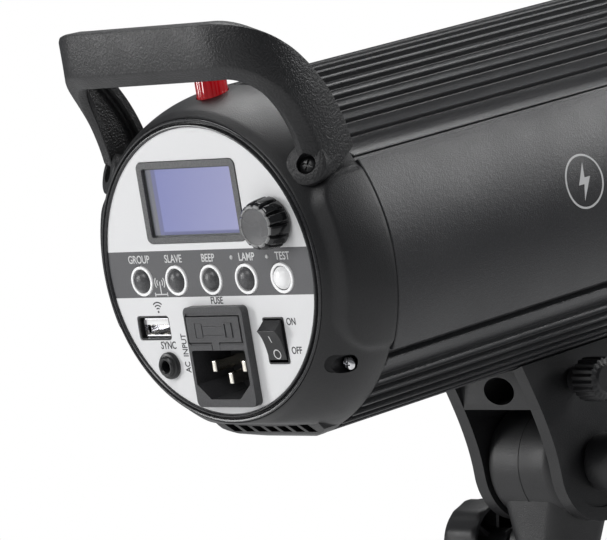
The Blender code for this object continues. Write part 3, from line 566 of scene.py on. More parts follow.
BAND = (-8.3, 7.1)
BLACK = (0.013, 0.013, 0.014)
GRAINED = moulded_plastic("grained_black", BLACK, 0.40, 0.7, 0.08)
FINE = moulded_plastic("fine_black", BLACK, 0.42, 0.4, 0.025)
SATIN = moulded_plastic("satin_black", (0.012, 0.012, 0.013), 0.33, 0.5, 0.010)
GLOSS = moulded_plastic("gloss_black", (0.008, 0.008, 0.009), 0.16, 0.6, 0.004, 0.6)
TRIM = moulded_plastic("trim_black", (0.030, 0.030, 0.032), 0.24, 0.6, 0.006, 0.6)
INLET = moulded_plastic("inlet_black", (0.045, 0.045, 0.048), 0.36, 0.5, 0.020)
GREY = moulded_plastic("satin_grey", (0.060, 0.061, 0.064), 0.38, 0.5, 0.015)
BEZEL_GREY = moulded_plastic("bezel_grey", (0.095, 0.096, 0.098), 0.38, 0.5, 0.012)
RIM_GREY = moulded_plastic("rim_grey", (0.26, 0.26, 0.26), 0.20, 0.5, 0.004, 0.5, 0.08)
LENS_GREY = moulded_plastic("lens_grey", (0.46, 0.46, 0.46), 0.20, 0.5, 0.004, 0.5, 0.08)
KNOB_GREY = moulded_plastic("knob_grey", (0.085, 0.085, 0.088), 0.28, 0.5, 0.006, 0.6, 0.08)
BUTTON_GREY = moulded_plastic("button_grey", (0.070, 0.070, 0.073), 0.32, 0.5, 0.010)
# White plastic with a painted glow: emitted light on the light guide, test key and USB tongue, which are no lamps.
WHITE = moulded_plastic("translucent_white_painted_glow", (0.90, 0.90, 0.90), 0.30, 0.8, 0.003, 0.5, 0.03, 0.12)
PAINT = powder_coat("black_powder_coat", (0.020, 0.020, 0.022), 0.38)
OVERLAY = panel_overlay("panel_overlay", BAND)
PALE_INK = printed_ink("pale_ink", (0.70, 0.70, 0.70))
DARK_INK = printed_ink("dark_ink", (0.035, 0.035, 0.038))
STEEL = metal("zinc_steel", (0.56, 0.56, 0.58), 0.30, (1, 0.1, 1))
CHROME = metal("chrome", (0.80, 0.80, 0.82), 0.10)
NICKEL = metal("nickel", (0.72, 0.69, 0.62), 0.16)
BRASS = metal("brass", (0.72, 0.56, 0.28), 0.25)
ALUMINIUM = metal("spun_aluminium", (0.86, 0.86, 0.87), 0.16, (0.2, 1, 0.2))
BOARD = circuit_board("solder_mask")
CERAMIC = glazed("ceramic", (0.80, 0.78, 0.73))
CLEAR = clear_glass("lamp_glass", (0.96, 0.97, 0.98))
FROSTED = clear_glass("frosted_glass", (0.93, 0.94, 0.95), 0.28, 0.75)
RED = red_lens("red_lens")


# ================================================================ body
BODY_AXIS_Z = middle_in(HEAD, "body_shell").z
RIB_TOP_R = 59.0
CHANNEL_R = 57.0
SIDE_PANEL_R = 60.0
BORE_R = 54.0
RIB_PITCH = 5.87
RIB_COUNT = 8
BODY_FLAT_Z = -60.2         # the lowest ribs end on one flat, seen in the head frame
SIDE_PANEL = (57.4, 119.6)  # edges of the side panel, in degrees from the top
MARK_Y = 118
MARK_ANGLE = 84


def rib(middle):
    """Section of one cooling rib, angles in degrees from the top."""
    half = math.degrees(0.6 / RIB_TOP_R)
    shape = ((-1.5, 0), (-1.08, 0.16), (-0.92, 1.7), (-0.6, 2.0),
             (0.6, 2.0), (0.92, 1.7), (1.08, 0.16), (1.5, 0))
    return [(middle + half * u, CHANNEL_R + rise) for u, rise in shape]


def half_section():
    """The extrusion's section from top to bottom as (angle, radius)."""
    points = rib(0)[4:]
    for i in range(1, RIB_COUNT + 1):
        points += rib(i * RIB_PITCH)
    points += [(51.6, CHANNEL_R), (51.9, CHANNEL_R + 0.15), (55.0, RIB_TOP_R + 0.2),
               (55.4, RIB_TOP_R + 0.15), (55.7, RIB_TOP_R - 0.7), (56.8, RIB_TOP_R - 0.8),
               (57.1, SIDE_PANEL_R - 0.35)]
    steps = 44
    for i in range(steps + 1):
        points.append((SIDE_PANEL[0] + (SIDE_PANEL[1] - SIDE_PANEL[0]) * i / steps, SIDE_PANEL_R))
    points += [(119.9, SIDE_PANEL_R - 0.4), (120.3, CHANNEL_R), (123.3, CHANNEL_R),
               (123.7, RIB_TOP_R - 0.3), (124.0, RIB_TOP_R), (126.3, RIB_TOP_R),
               (126.6, RIB_TOP_R - 0.3), (127.0, CHANNEL_R)]
    for i in range(RIB_COUNT, 0, -1):
        points += rib(180 - i * RIB_PITCH)
    return points + rib(180)[:4]


def make_body():
    low, high = box_in(HEAD, "body_shell")
    half = half_section()
    section = half + [(360 - angle, radius) for angle, radius in reversed(half)]

    def ring(y, inset=0.0, bore=False):
        points = []
        for angle, radius in section:
            r = BORE_R if bore else radius - inset
            a = math.radians(angle)
            z = BODY_AXIS_Z + r * math.cos(a)
            points.append((r * math.sin(a), y, max(z, BODY_FLAT_Z + inset)))
        return points

    rings = [ring(low.y + 0.3), ring(high.y - 0.3), ring(high.y, 0.3), ring(high.y, bore=True),
             ring(low.y, bore=True), ring(low.y, 0.3)]
    piece("ribbed_tube", loft(rings, loop=True), PAINT, nodes=["body_shell"], sharp=28)


def make_side_marks():
    """A plain bolt pictogram in a ring on each side panel."""
    bolt = [(1.2, 6.2), (-3.1, -0.9), (-0.4, -0.9), (-1.5, -6.2), (3.1, 1.2), (0.3, 1.2)]
    for side in (-1, 1):
        ring = [circle((0, 0), radius, 64) for radius in (9.2, 8.5)]
        ink = joined(plate([bolt], 0, 0.12), plate(ring, 0, 0.12))
        for vertex in ink.vertices:
            lift = vertex.co.y
            along = vertex.co.x * side
            angle = math.radians(MARK_ANGLE) - vertex.co.z / SIDE_PANEL_R
            r = SIDE_PANEL_R + 0.02 + lift
            vertex.co = (side * r * math.sin(angle), MARK_Y + along, BODY_AXIS_Z + r * math.cos(angle))
        piece("side_mark_" + SIDES[side], ink, PALE_INK)


# ================================================================ rear cap
CAP_END_Y = 24.6
CAP_REAR_R = 50.3
CAP_SEAM_R = 59.0
CAP_BORE_R = 50.4
CAP_CURVE = 2.05            # how tightly the cap turns in towards its rear edge
FLANK_DROP = 5.6            # the raised flank's own fall towards the rear, and its curve
FLANK_CURVE = 2.1
FLANK_CORNER_R = 13.0
FLANK_REAR_Y = 2.6
FLANK_STEP = 3.4            # width of the slope round the flank
UNDERSIDE_Z = -50.4
UNDERSIDE_SLOPE = 0.27
VENT_SLOPE = 0.50
VENT_TOP_Y = 15.0
VENT_SLOTS = 7
VENT_PITCH = 5.8
VENT_LIP_Z = -58.3
VENT_HALF_WIDTH = 24.5
VENT_ARCH = 1.6             # rise of the slots' upper ends from the middle to the sides
VENT_FACE_DEPTH = 3.6
SLOT_HALF_WIDTH = 2.0
SLOT_LEAN = 0.32            # sideways run of a slot per unit of its height
POCKET_AT = (43.2, 9.2, -32.6)      # middle of the screw pocket's floor
POCKET_LEAN = 32.0          # the pocket follows the cap's slope, in degrees
POCKET_SIZE = (11.2, 6.0)
POCKET_TILT = -9
SCREW_X = 44.3
SCREW_HEAD_Y = 10.9
FOOT_FACE = (46.2, 6.0, 32.3)
FOOT_PITCH = -20.1          # lean and turn of the handle screws, in degrees
FOOT_YAW = 29.3


def cap_centre_z(y):
    share = min(max((y - 3.0) / (CAP_END_Y - 3.0), 0), 1)
    return BODY_AXIS_Z * share * (2 - share)


def cap_base_radius(y):
    return CAP_SEAM_R - (CAP_SEAM_R - CAP_REAR_R) * (1 - y / CAP_END_Y) ** CAP_CURVE


def flank_share(angle, y):
    """How far a point on the cap lies inside the raised flank: 0 outside, 1 inside."""
    middle = math.radians(sum(SIDE_PANEL) / 2)
    half_height = math.radians(SIDE_PANEL[1] - SIDE_PANEL[0]) / 2 * SIDE_PANEL_R
    turn = abs((angle + math.pi) % (2 * math.pi) - math.pi)
    across = abs(turn - middle) * SIDE_PANEL_R - (half_height - FLANK_CORNER_R)
    back = (FLANK_REAR_Y + FLANK_CORNER_R) - y
    if across > 0 and back > 0:
        depth = FLANK_CORNER_R - math.hypot(across, back)
    else:
        depth = FLANK_CORNER_R - max(across, back)
    return smooth_step(depth / FLANK_STEP)


def cap_radius(angle, y):
    base = cap_base_radius(y)
    flank = SIDE_PANEL_R - FLANK_DROP * (1 - y / CAP_END_Y) ** FLANK_CURVE
    return base + max(flank - base, 0) * flank_share(angle, y)


def underside_z(y):
    """Height of the cap's flattened underside: a gentle rise to the rear, then a steep
    face where the vent sits."""
    return UNDERSIDE_Z - UNDERSIDE_SLOPE * min(y, VENT_TOP_Y) - VENT_SLOPE * max(y - VENT_TOP_Y, 0)


def cap_ring(y, radius, steps=288):
    """Points round the cap at one place; radius is a function of the angle."""
    centre_z = cap_centre_z(y)
    floor = underside_z(y)
    blend = min(1.2, 0.15 * max(y, 0))
    points = []
    for i in range(steps):
        angle = 2 * math.pi * i / steps
        r = radius(angle)
        above = centre_z + r * math.cos(angle) - floor
        z = floor + (above + math.hypot(above, blend)) / 2
        points.append((r * math.sin(angle), y, z))
    return points


def cap_solid(grow):
    """Solid of the cap's outer surface, grown by a margin."""
    rings = []
    for i in range(19):
        y = 0.2 + (CAP_END_Y - 0.2) * (i / 18) ** 1.25
        rings.append(cap_ring(y, lambda angle, y=y: cap_radius(angle, y) + grow, 192))
    rings.append(cap_ring(CAP_END_Y + 2.0, lambda angle: cap_radius(angle, CAP_END_Y) + grow, 192))
    return loft(rings)


def capsule(size, start, end, tilt):
    """Oval pocket tool across X: length along Y and width along Z, tilted in degrees."""
    r = size[1] / 2
    run = size[0] / 2 - r
    outline = arc((run, 0), r, -90, 90, 12)
    outline += arc((-run, 0), r, 90, 270, 12)
    lean = math.radians(tilt)
    outline = [(u * math.cos(lean) - v * math.sin(lean), u * math.sin(lean) + v * math.cos(lean))
               for u, v in outline]
    return plate([outline], start, end, "X")


def in_foot(side, mesh):
    """Place a shape drawn about the Y axis on the screw axis of one handle foot."""
    turn = Euler((math.radians(FOOT_PITCH), 0, math.radians(side * FOOT_YAW)))
    face = Vector((side * FOOT_FACE[0], FOOT_FACE[1], FOOT_FACE[2]))
    mesh.transform(Matrix.Translation(face) @ turn.to_matrix().to_4x4())
    return mesh


def make_cap():
    rings = [cap_ring(0.15, lambda angle: CAP_REAR_R)]
    rows = 34
    for i in range(rows + 1):
        y = 0.35 + (CAP_END_Y - 0.35) * (i / rows) ** 1.25
        inset = 0.25 if i == rows else 0.0
        rings.append(cap_ring(y, lambda angle, y=y, inset=inset: cap_radius(angle, y) - inset))
    rings.append(cap_ring(CAP_END_Y, lambda angle: CAP_BORE_R))
    rings.append(cap_ring(1.0, lambda angle: 50.0))
    rings.append(cap_ring(0.35, lambda angle: CAP_REAR_R - 0.25))
    cap = loft(rings, loop=True)

    sensor = middle_in(HEAD, "slave_sensor_dome")
    tools = [turned([(5.55, 70.0), (5.55, 45.0)], 48, (0, sensor.y), "Z"), *vent_slots()]
    for side in (-1, 1):
        screw = middle_in(HEAD, "cap_screw_" + SIDES[side])
        pocket = capsule(POCKET_SIZE, *sorted((0, side * 16.0)), POCKET_TILT)
        lean = Matrix.Rotation(math.radians(-side * POCKET_LEAN), 4, "Z")
        floor = Matrix.Translation((side * POCKET_AT[0], POCKET_AT[1], POCKET_AT[2]))
        pocket.transform(floor @ lean)
        tools.append(pocket)
        tools.append(turned([(2.7, 20.0), (2.7, 6.0)], 32, (side * SCREW_X, screw.z)))
        tools.append(in_foot(side, turned([(4.9, -10.0), (4.9, 4.4)], 40)))
        tools.append(in_foot(side, turned([(1.5, 4.0), (1.5, 18.0)], 24)))
    piece("rear_cap_shell", cut(cap, *tools), FINE, nodes=["rear_cap"], sharp=32)

    ring_profile = [(47.30, 2.6), (47.30, -0.15), (47.45, -0.62), (47.75, -0.85), (48.05, -0.80),
                    (48.25, -0.45), (48.40, 0.75), (48.75, 0.90), (48.95, -0.05), (49.20, -0.42),
                    (49.60, -0.50), (49.90, -0.20), (50.02, 0.40), (50.02, 2.6)]
    piece("trim_ring", turned(ring_profile, 160, closed=True), TRIM, nodes=["panel_trim_ring"])
    for side in (-1, 1):
        node = "cap_screw_" + SIDES[side]
        screw = middle_in(HEAD, node)
        pan = moved(pan_screw(2.3), (side * SCREW_X, SCREW_HEAD_Y, screw.z))
        piece("cross_screw_" + SIDES[side], pan, CHROME, nodes=[node], bevel=0.08, segments=1)


def pan_screw(radius):
    """Pan-head screw with a cross recess, drawn about the Y axis with its head at 0."""
    head = turned([(0, 0.0), (radius * 0.55, 0.05), (radius * 0.85, 0.35), (radius, 0.9), (radius, 1.6),
                   (1.3, 1.7), (1.3, 12.0), (0, 12.0)], 40)
    arm = radius * 0.62
    width = radius * 0.13
    recess = fused(block((-arm, -1, -width), (arm, 0.9, width)),
                   block((-width, -1, -arm), (width, 0.9, arm)))
    return cut(head, moved(recess, turn=20, axis="Y"))


def make_sensor():
    low, high = box_in(HEAD, "slave_sensor_dome")
    x, y = 0.0, (low.y + high.y) / 2
    profile = [(0, high.z), (2.4, high.z - 0.15), (4.1, high.z - 0.8), (4.9, high.z - 1.9),
               (5.25, high.z - 3.4), (5.25, low.z), (0, low.z)]

    def facets(angle, radius, place):
        return -0.16 * (1 - abs(math.cos(9 * angle))) if radius > 4 else 0

    lens = turned(profile, 144, (x, y), "Z", swell=facets)
    piece("sensor_lens", lens, RED, nodes=["slave_sensor_dome"])


def vent_slots():
    """Cutting shapes of the vent's slots, leaning sideways and taller towards the ends."""
    slots = []
    for i in range(VENT_SLOTS):
        x = (i - (VENT_SLOTS - 1) / 2) * VENT_PITCH
        top_z = underside_z(VENT_TOP_Y) - 0.5 + VENT_ARCH * (x / VENT_HALF_WIDTH) ** 2
        bottom_z = VENT_LIP_Z + 1.0
        slot = block((x - SLOT_HALF_WIDTH, VENT_TOP_Y - 3.0, bottom_z),
                     (x + SLOT_HALF_WIDTH, CAP_END_Y - 2.0, top_z))
        for vertex in slot.vertices:
            vertex.co.x -= (vertex.co.z - bottom_z) * SLOT_LEAN
        slots.append(slot)
    return slots


def make_vent():
    """Louvre in the flattened underside of the cap: a steep slotted face above a
    continuous curved lip."""
    top_z = underside_z(VENT_TOP_Y)
    lip_y = VENT_TOP_Y + VENT_FACE_DEPTH
    section = [(VENT_TOP_Y - 2.0, top_z + 2.0), (VENT_TOP_Y, top_z - 0.3), (lip_y - 0.5, VENT_LIP_Z + 0.4),
               (lip_y, VENT_LIP_Z), (CAP_END_Y - 0.3, BODY_FLAT_Z - 0.1), (CAP_END_Y - 0.3, top_z + 2.0)]
    louvre = plate([section], -VENT_HALF_WIDTH, VENT_HALF_WIDTH, "X")
    end = VENT_HALF_WIDTH - 2.0
    outline = [(-VENT_HALF_WIDTH, -50.0), (VENT_HALF_WIDTH, -50.0), (VENT_HALF_WIDTH - 0.6, -56.0)]
    steps = 24
    for i in range(steps + 1):
        x = end * (1 - 2 * i / steps)
        outline.append((x, max(BODY_AXIS_Z - math.sqrt(CAP_SEAM_R ** 2 - x ** 2), BODY_FLAT_Z) - 0.1))
    outline += [(0.6 - VENT_HALF_WIDTH, -56.0)]
    louvre = boolean(louvre, plate([outline], 0.0, 30.0), "INTERSECT")
    piece("vent_louvre", cut(louvre, *vent_slots()), FINE, nodes=["vent_grille"], bevel=0.15)


# ================================================================ handle
HANDLE_HALF_WIDTH = 50.0
HANDLE_CORNER_R = 22.0
HANDLE_REAR_Y = -15.0
HANDLE_DEPTH = 6.5          # thickness of its rims
HANDLE_WEB = 4.0            # thickness of the wall between the rims
HANDLE_RIM = 3.7            # width of the upper rim
CHAMFER_DROP = 4.3          # bevel between the outer face and the lower rim
CHAMFER_DEPTH = 3.6


def handle_plan(along):
    """Point and outward direction of the handle's outer face in plan, by length from
    the middle of the bar."""
    bend = HANDLE_HALF_WIDTH - HANDLE_CORNER_R
    quarter = HANDLE_CORNER_R * math.pi / 2
    if along <= bend:
        return (along, HANDLE_REAR_Y), (0, -1)
    if along <= bend + quarter:
        angle = (along - bend) / HANDLE_CORNER_R
        direction = (math.sin(angle), -math.cos(angle))
        return ((bend + HANDLE_CORNER_R * direction[0],
                 HANDLE_REAR_Y + HANDLE_CORNER_R + HANDLE_CORNER_R * direction[1]), direction)
    return (HANDLE_HALF_WIDTH, HANDLE_REAR_Y + HANDLE_CORNER_R + along - bend - quarter), (1, 0)


def handle_edges():
    """Lower and upper edge of the band as (length from the middle, height), each pair
    with the drop of the chamfer below the lower edge."""
    lower = [(34 * i / 10, 67.4) for i in range(10)]
    lower += bezier((34, 67.4), (49, 67.2), (64, 51), (64.8, 31.0), 34)
    upper = [(32 * i / 10, 81.8) for i in range(10)]
    upper += bezier((32, 81.8), (56, 81.6), (77, 58), (80.2, 36.0), 34)
    drops = [CHAMFER_DROP] * len(lower)
    steps = 5
    for i in range(1, steps + 1):
        t = i / steps
        lower.append((64.8 + 1.7 * t, 31.0 - 5.0 * t))
        upper.append((80.2, 36.0 - 1.0 * t))
        drops.append(CHAMFER_DROP * (1 - 0.6 * t))
    return list(zip(lower, upper, drops))


def handle_section(low, high, drop, side):
    """Closed C-shaped section across the band: outer face, chamfer, flat rim, then the
    recess behind the face."""
    width = math.dist(low, high)
    across = ((high[0] - low[0]) / width, (high[1] - low[1]) / width)
    rim = min(HANDLE_RIM, width * 0.3)
    deep = HANDLE_DEPTH
    web = HANDLE_WEB
    shape = [(0.0, 0.7), (0.12, 0.12), (0.6, 0.12 - drop * 0.16), (CHAMFER_DEPTH - 0.4, 0.25 - drop),
             (CHAMFER_DEPTH, -drop), (deep - 0.35, -drop), (deep, 0.35 - drop), (deep, -0.6),
             (deep - 0.5, 0.0), (web + 0.6, 0.3), (web, 1.0),
             (web, width - rim - 0.9), (web + 0.5, width - rim - 0.3), (deep - 0.6, width - rim),
             (deep, width - rim + 0.6), (deep, width - 0.8), (deep - 0.8, width), (1.3, width),
             (0.35, width - 0.3), (0.0, width - 1.2)]
    points = []
    for depth, run in shape:
        along = low[0] + across[0] * run
        height = low[1] + across[1] * run
        (x, y), (nx, ny) = handle_plan(max(along, 0))
        points.append((side * (x - nx * depth), y - ny * depth, height))
    return points


def make_handle():
    edges = handle_edges()
    right = [handle_section(*edge, 1) for edge in edges]
    left = [handle_section(*edge, -1) for edge in edges[1:]]
    band = loft(left[::-1] + right)
    pads = []
    for side in (-1, 1):
        pads.append(in_foot(side, turned([(0, -0.6), (6.0, -0.55), (6.6, -0.25), (6.9, 0.4), (7.2, 12.0),
                                          (0, 12.0)], 64)))
    handle = cut(fused(band, *pads), cap_solid(0.12))
    for side in (-1, 1):
        handle = fused(handle, in_foot(side, turned([(0, 2.8), (4.6, 2.8), (4.6, 4.1), (0, 4.1)], 48)))
        handle = cut(handle, in_foot(side, turned([(3.2, -8.0), (3.2, 2.4), (1.5, 2.5), (1.5, 6.0)], 40)))
    piece("grip_handle", handle, GRAINED, nodes=["handle"], sharp=32)
    for side in (-1, 1):
        bolt = moved(pan_screw(2.8), (0, 1.0, 0))
        piece("handle_bolt_" + SIDES[side], in_foot(side, bolt), SATIN,
              nodes=["handle_screw_" + SIDES[side]], bevel=0.08, segments=1)


# ================================================================ control panel
PANEL_R = 47.2
BUTTON_NAMES = ("group", "slave", "buzzer", "lamp", "test")
USB_OPENING = (15.3, 8.2)
LABEL_RISE = 7.1            # from a button's middle to its label
TEXT_WIDTH = 0.82           # the labels are set narrower than the font


def button_place(name):
    middle = middle_in(HEAD, "button_" + name)
    return middle.x, middle.z


def ring_outline(centre, radius, width, steps=40):
    return [circle(centre, radius, steps), circle(centre, radius - width, steps)]


def make_panel():
    knob = middle_in(HEAD, "encoder_shaft")
    display = middle_in(HEAD, "display_bezel")
    usb = middle_in(HEAD, "usb_port")
    jack = middle_in(HEAD, "sync_jack")
    inlet = middle_in(HEAD, "power_inlet")
    rocker = middle_in(HEAD, "switch_housing")
    holes = [rounded((display.x, display.z), (46.4, 27.2), 2.4),
             circle((knob.x, knob.z), 4.2),
             rounded((usb.x, usb.z), USB_OPENING, 1.2),
             circle((jack.x, jack.z), 4.0),
             rounded((inlet.x, inlet.z), (26.0, 31.7), 1.0),
             rounded((rocker.x, rocker.z), (8.9, 14.9), 0.5)]
    holes += [circle(button_place(name), 5.3, 48) for name in BUTTON_NAMES]
    panel = plate([circle((0, 0), PANEL_R, 160)] + holes, 0, 2.4)
    piece("panel_plate", panel, OVERLAY, nodes=["control_panel"], bevel=0.18)

    frame_outline = rounded((display.x, display.z), (46.0, 26.8), 2.1)
    opening = rounded((display.x, display.z - 0.1), (41.4, 22.8), 0.8)
    bezel = fused(plate([frame_outline, opening], -0.35, 0.7),
                  plate([frame_outline, rounded((display.x, display.z), (43.6, 24.4), 0.8)], 0.5, 2.9))
    piece("display_surround", bezel, BEZEL_GREY, nodes=["display_bezel"], bevel=0.30)
    field = (display.x - 20.2, display.x + 19.9, display.z - 11.0, display.z + 10.9)
    screen = plate([rounded((display.x, display.z), (43.0, 23.8), 0.6)], 0.9, 2.9)
    piece("display_screen", screen, lit_display("display_field", field), nodes=["display_window"])

    make_buttons()
    make_knob(knob)
    make_usb(usb)
    make_jack(jack)
    make_inlet()
    make_switch(rocker)
    make_print(usb, jack, inlet, rocker)


def make_buttons():
    rings = []
    for name in BUTTON_NAMES:
        x, z = button_place(name)
        profile = [(4.05, 2.6), (4.05, -0.30), (4.15, -0.42), (4.85, -0.42), (5.0, -0.25), (5.0, 2.6)]
        rings.append(turned(profile, 56, (x, z), closed=True))
    low, high = box_in(HEAD, "button_light_guide")
    web = block((low.x, 2.7, low.z), (high.x, 3.6, high.z))
    piece("light_guide_rings", joined(web, *rings), WHITE, nodes=["button_light_guide"])
    for name in BUTTON_NAMES:
        x, z = button_place(name)
        dome = [(0, -1.85), (1.3, -1.74), (2.4, -1.38), (3.2, -0.8), (3.65, -0.15), (3.82, 0.6),
                (3.82, 4.6), (2.0, 4.8), (2.0, 8.2), (0, 8.2)]
        finish = WHITE if name == "test" else BUTTON_GREY
        piece("key_" + name, turned(dome, 56, (x, z)), finish, "button_" + name, ["button_" + name])
    x, z = button_place("test")
    # A dark grey ring fills the gap round the test key: painted shade.
    painted_shade_ring = turned([(3.86, 1.0), (3.86, 0.0), (4.04, 0.0), (4.04, 1.0)], 56, (x, z), closed=True)
    piece("test_key_gap_painted_shade", painted_shade_ring, GREY)


def make_knob(knob):
    """Rotary control: black skirt with narrow finger grooves and a dished grey face."""
    steps = 288
    grooves = 12
    sharpness = 7

    def fluted(radius, depth, height):
        ring = []
        for i in range(steps):
            angle = 2 * math.pi * i / steps
            r = radius - depth * (0.5 + 0.5 * math.cos(grooves * angle)) ** sharpness
            ring.append((knob.x + r * math.sin(angle), -height, knob.z + r * math.cos(angle)))
        return ring

    skirt = [fluted(8.2, 0.2, 0.9), fluted(8.4, 0.3, 1.2), fluted(8.4, 0.9, 1.9), fluted(8.2, 1.15, 4.5),
             fluted(7.8, 1.15, 7.0), fluted(7.5, 1.0, 7.7), fluted(6.9, 0.8, 8.2)]
    piece("knob_skirt", loft(skirt), GLOSS, "control_knob", ["control_knob"], sharp=50)
    rim = [fluted(7.0, 0.75, 7.9), fluted(6.85, 0.75, 8.35), fluted(6.5, 0.6, 8.65), fluted(6.1, 0.3, 8.7),
           fluted(5.9, 0.0, 8.55), fluted(5.9, 0.0, 8.0)]
    piece("knob_rim", loft(rim), RIM_GREY, "control_knob", sharp=60)
    face = [fluted(5.85, 0.0, 8.1), fluted(5.8, 0.0, 8.5), fluted(4.5, 0.0, 8.38), fluted(2.5, 0.0, 8.28),
            fluted(0.5, 0.0, 8.25)]
    piece("knob_face", loft(face), KNOB_GREY, "control_knob", sharp=60)


def make_usb(usb):
    """Socket for a type A plug: dark recess, folded metal shell, tongue and springs."""
    x, z = usb.x, usb.z
    surround = hollow_plate((x, z), (15.0, 7.9, 1.1), (14.0, 6.9, 0.7), 0.25, 4.0)
    back = hollow_plate((x, z), (14.8, 7.7, 0.9), (12.0, 5.2, 0.4), 3.0, 4.0)
    piece("usb_surround", joined(surround, back), SATIN)
    shell = hollow_plate((x, z), (12.8, 5.9, 0.7), (12.0, 5.1, 0.4), 1.6, 15.0)
    closed = block((x - 6.3, 14.0, z - 2.8), (x + 6.3, 15.0, z + 2.8))
    piece("usb_shell", joined(shell, closed), CHROME, nodes=["usb_port"])
    tongue = block((x - 5.5, 2.0, z + 0.7), (x + 5.5, 14.2, z + 2.4))
    piece("usb_tongue", tongue, WHITE, bevel=0.2)
    contacts = []
    for i in range(4):
        cx = x + (i - 1.5) * 2.4
        contacts.append(block((cx - 0.55, 2.2, z + 0.5), (cx + 0.55, 13.0, z + 0.72)))
    for i in (-1, 1):
        for edge, bow in ((-2.5, 1.2), (2.5, -0.4)):
            cx = x + i * 3.2
            low_z = z + edge
            leaf = bezier((1.7, low_z), (4.0, low_z), (4.6, low_z + bow), (7.0, low_z + 0.3 * bow), 8)
            leaf += [(y, h + 0.2) for y, h in reversed(leaf)]
            contacts.append(plate([leaf], cx - 1.1, cx + 1.1, "X"))
    piece("usb_contacts", joined(*contacts), NICKEL)


def make_jack(jack):
    at = (jack.x, jack.z)
    collar = [(4.45, -0.02), (4.5, -1.0), (4.2, -1.5), (3.5, -1.7), (3.35, -2.5), (2.9, -2.85), (2.3, -2.8),
              (1.95, -2.4), (1.85, -1.2), (1.85, 15.5), (3.6, 15.5), (3.6, -0.02)]
    piece("jack_collar", turned(collar, 64, at, closed=True), SATIN, nodes=["sync_jack"])
    sleeve = [(1.83, 2.0), (1.60, 2.0), (1.60, 15.0), (1.83, 15.0)]
    piece("jack_sleeve", turned(sleeve, 48, at, closed=True), NICKEL)


def socket_mouth(centre, size, grow=0.0):
    """Outline of the mains socket: a rectangle with its two lower corners cut off."""
    w = size[0] / 2 + grow
    h = size[1] / 2 + grow
    cut_x, cut_z = 5.6, 4.9
    r = 0.8
    cx, cz = centre
    points = arc((cx + w - r, cz + h - r), r, 0, 90, 4) + arc((cx - w + r, cz + h - r), r, 90, 180, 4)
    return points + [(cx - w, cz - h + cut_z), (cx - w + cut_x, cz - h), (cx + w - cut_x, cz - h),
                     (cx + w, cz - h + cut_z)]


def make_inlet():
    """Mains inlet with its fuse drawer and three pins."""
    low, high = box_in(HEAD, "power_inlet")
    x = (low.x + high.x) / 2
    z = (low.z + high.z) / 2
    flange = plate([rounded((x, z), (27.4, 33.1), 2.0)], -3.1, -0.1)
    body = block((x - 12.6, -1.5, z - 15.4), (x + 12.6, 25.0, z + 15.4))
    drawer = middle_in(HEAD, "fuse_drawer")
    live = middle_in(HEAD, "inlet_pin_live")
    earth = middle_in(HEAD, "inlet_pin_earth")
    socket = (earth.x, (live.z + earth.z) / 2)
    recess = plate([rounded((x, drawer.z + 0.2), (25.6, 10.6), 0.8)], -4.0, -2.75)
    cavity = plate([socket_mouth(socket, (24.7, 16.2))], -4.0, 14.0)
    well = block((drawer.x - 12.55, -4.0, drawer.z - 4.6), (drawer.x + 12.55, 14.2, drawer.z + 4.6))
    tab = block((drawer.x - 1.9, -4.0, drawer.z - 7.2), (drawer.x + 1.9, -2.85, drawer.z - 4.0))
    inlet = cut(fused(flange, body), recess, cavity, well, tab)
    piece("inlet_housing", inlet, INLET, nodes=["power_inlet"], bevel=0.30)

    tray = block((drawer.x - 12.2, -3.0, drawer.z - 4.25), (drawer.x + 12.2, 13.5, drawer.z + 4.25))
    pull = block((drawer.x - 1.7, -3.0, drawer.z - 6.9), (drawer.x + 1.7, -2.3, drawer.z - 3.0))
    carrier = fused(tray, pull)
    lines = []
    for left, right, height in ((-8.6, -5.3, 2.5), (-5.3, 5.3, 1.6), (5.3, 8.6, 2.5)):
        middle = (drawer.x + (left + right) / 2, drawer.z - 0.3)
        outer = rounded(middle, (right - left + 0.15, 2 * height), 0.05, 1)
        inner = rounded(middle, (right - left - 0.35, 2 * height - 0.5), 0.05, 1)
        lines.append(plate([outer, inner], -3.3, -2.75))
    piece("fuse_carrier", cut(carrier, *lines), INLET, "fuse_drawer", ["fuse_drawer"])
    fuse = middle_in(HEAD, "fuse")
    glass = turned([(0, -10), (2.55, -10), (2.55, 10), (0, 10)], 32, (fuse.y, fuse.z), "X")
    piece("fuse_link", moved(glass, (fuse.x, 0, 0)), FROSTED, "fuse_drawer", ["fuse"])

    for name in ("live", "neutral", "earth"):
        pin_low, pin_high = box_in(HEAD, "inlet_pin_" + name)
        pin = block(pin_low, pin_high)
        piece("pin_" + name, pin, NICKEL, nodes=["inlet_pin_" + name], bevel=0.5, segments=3)


def rocker_face(steps):
    """The concave face of the rocker about its pivot, as (y, z), from its crest down."""
    return bezier((-5.1, 3.75), (-2.9, 1.2), (-2.1, -2.9), (-1.7, -6.2), steps)


def rocker_section():
    """The rocker's section about its pivot: flat upper face, crest, concave face, back."""
    crest = bezier((-4.85, 4.1), (-5.1, 4.05), (-5.2, 3.9), (-5.1, 3.75), 4)[:-1]
    return [(-1.5, 6.75)] + crest + rocker_face(16) + arc((0, 0), 6.3, 268, 448, 24) + [(0.2, 6.7)]


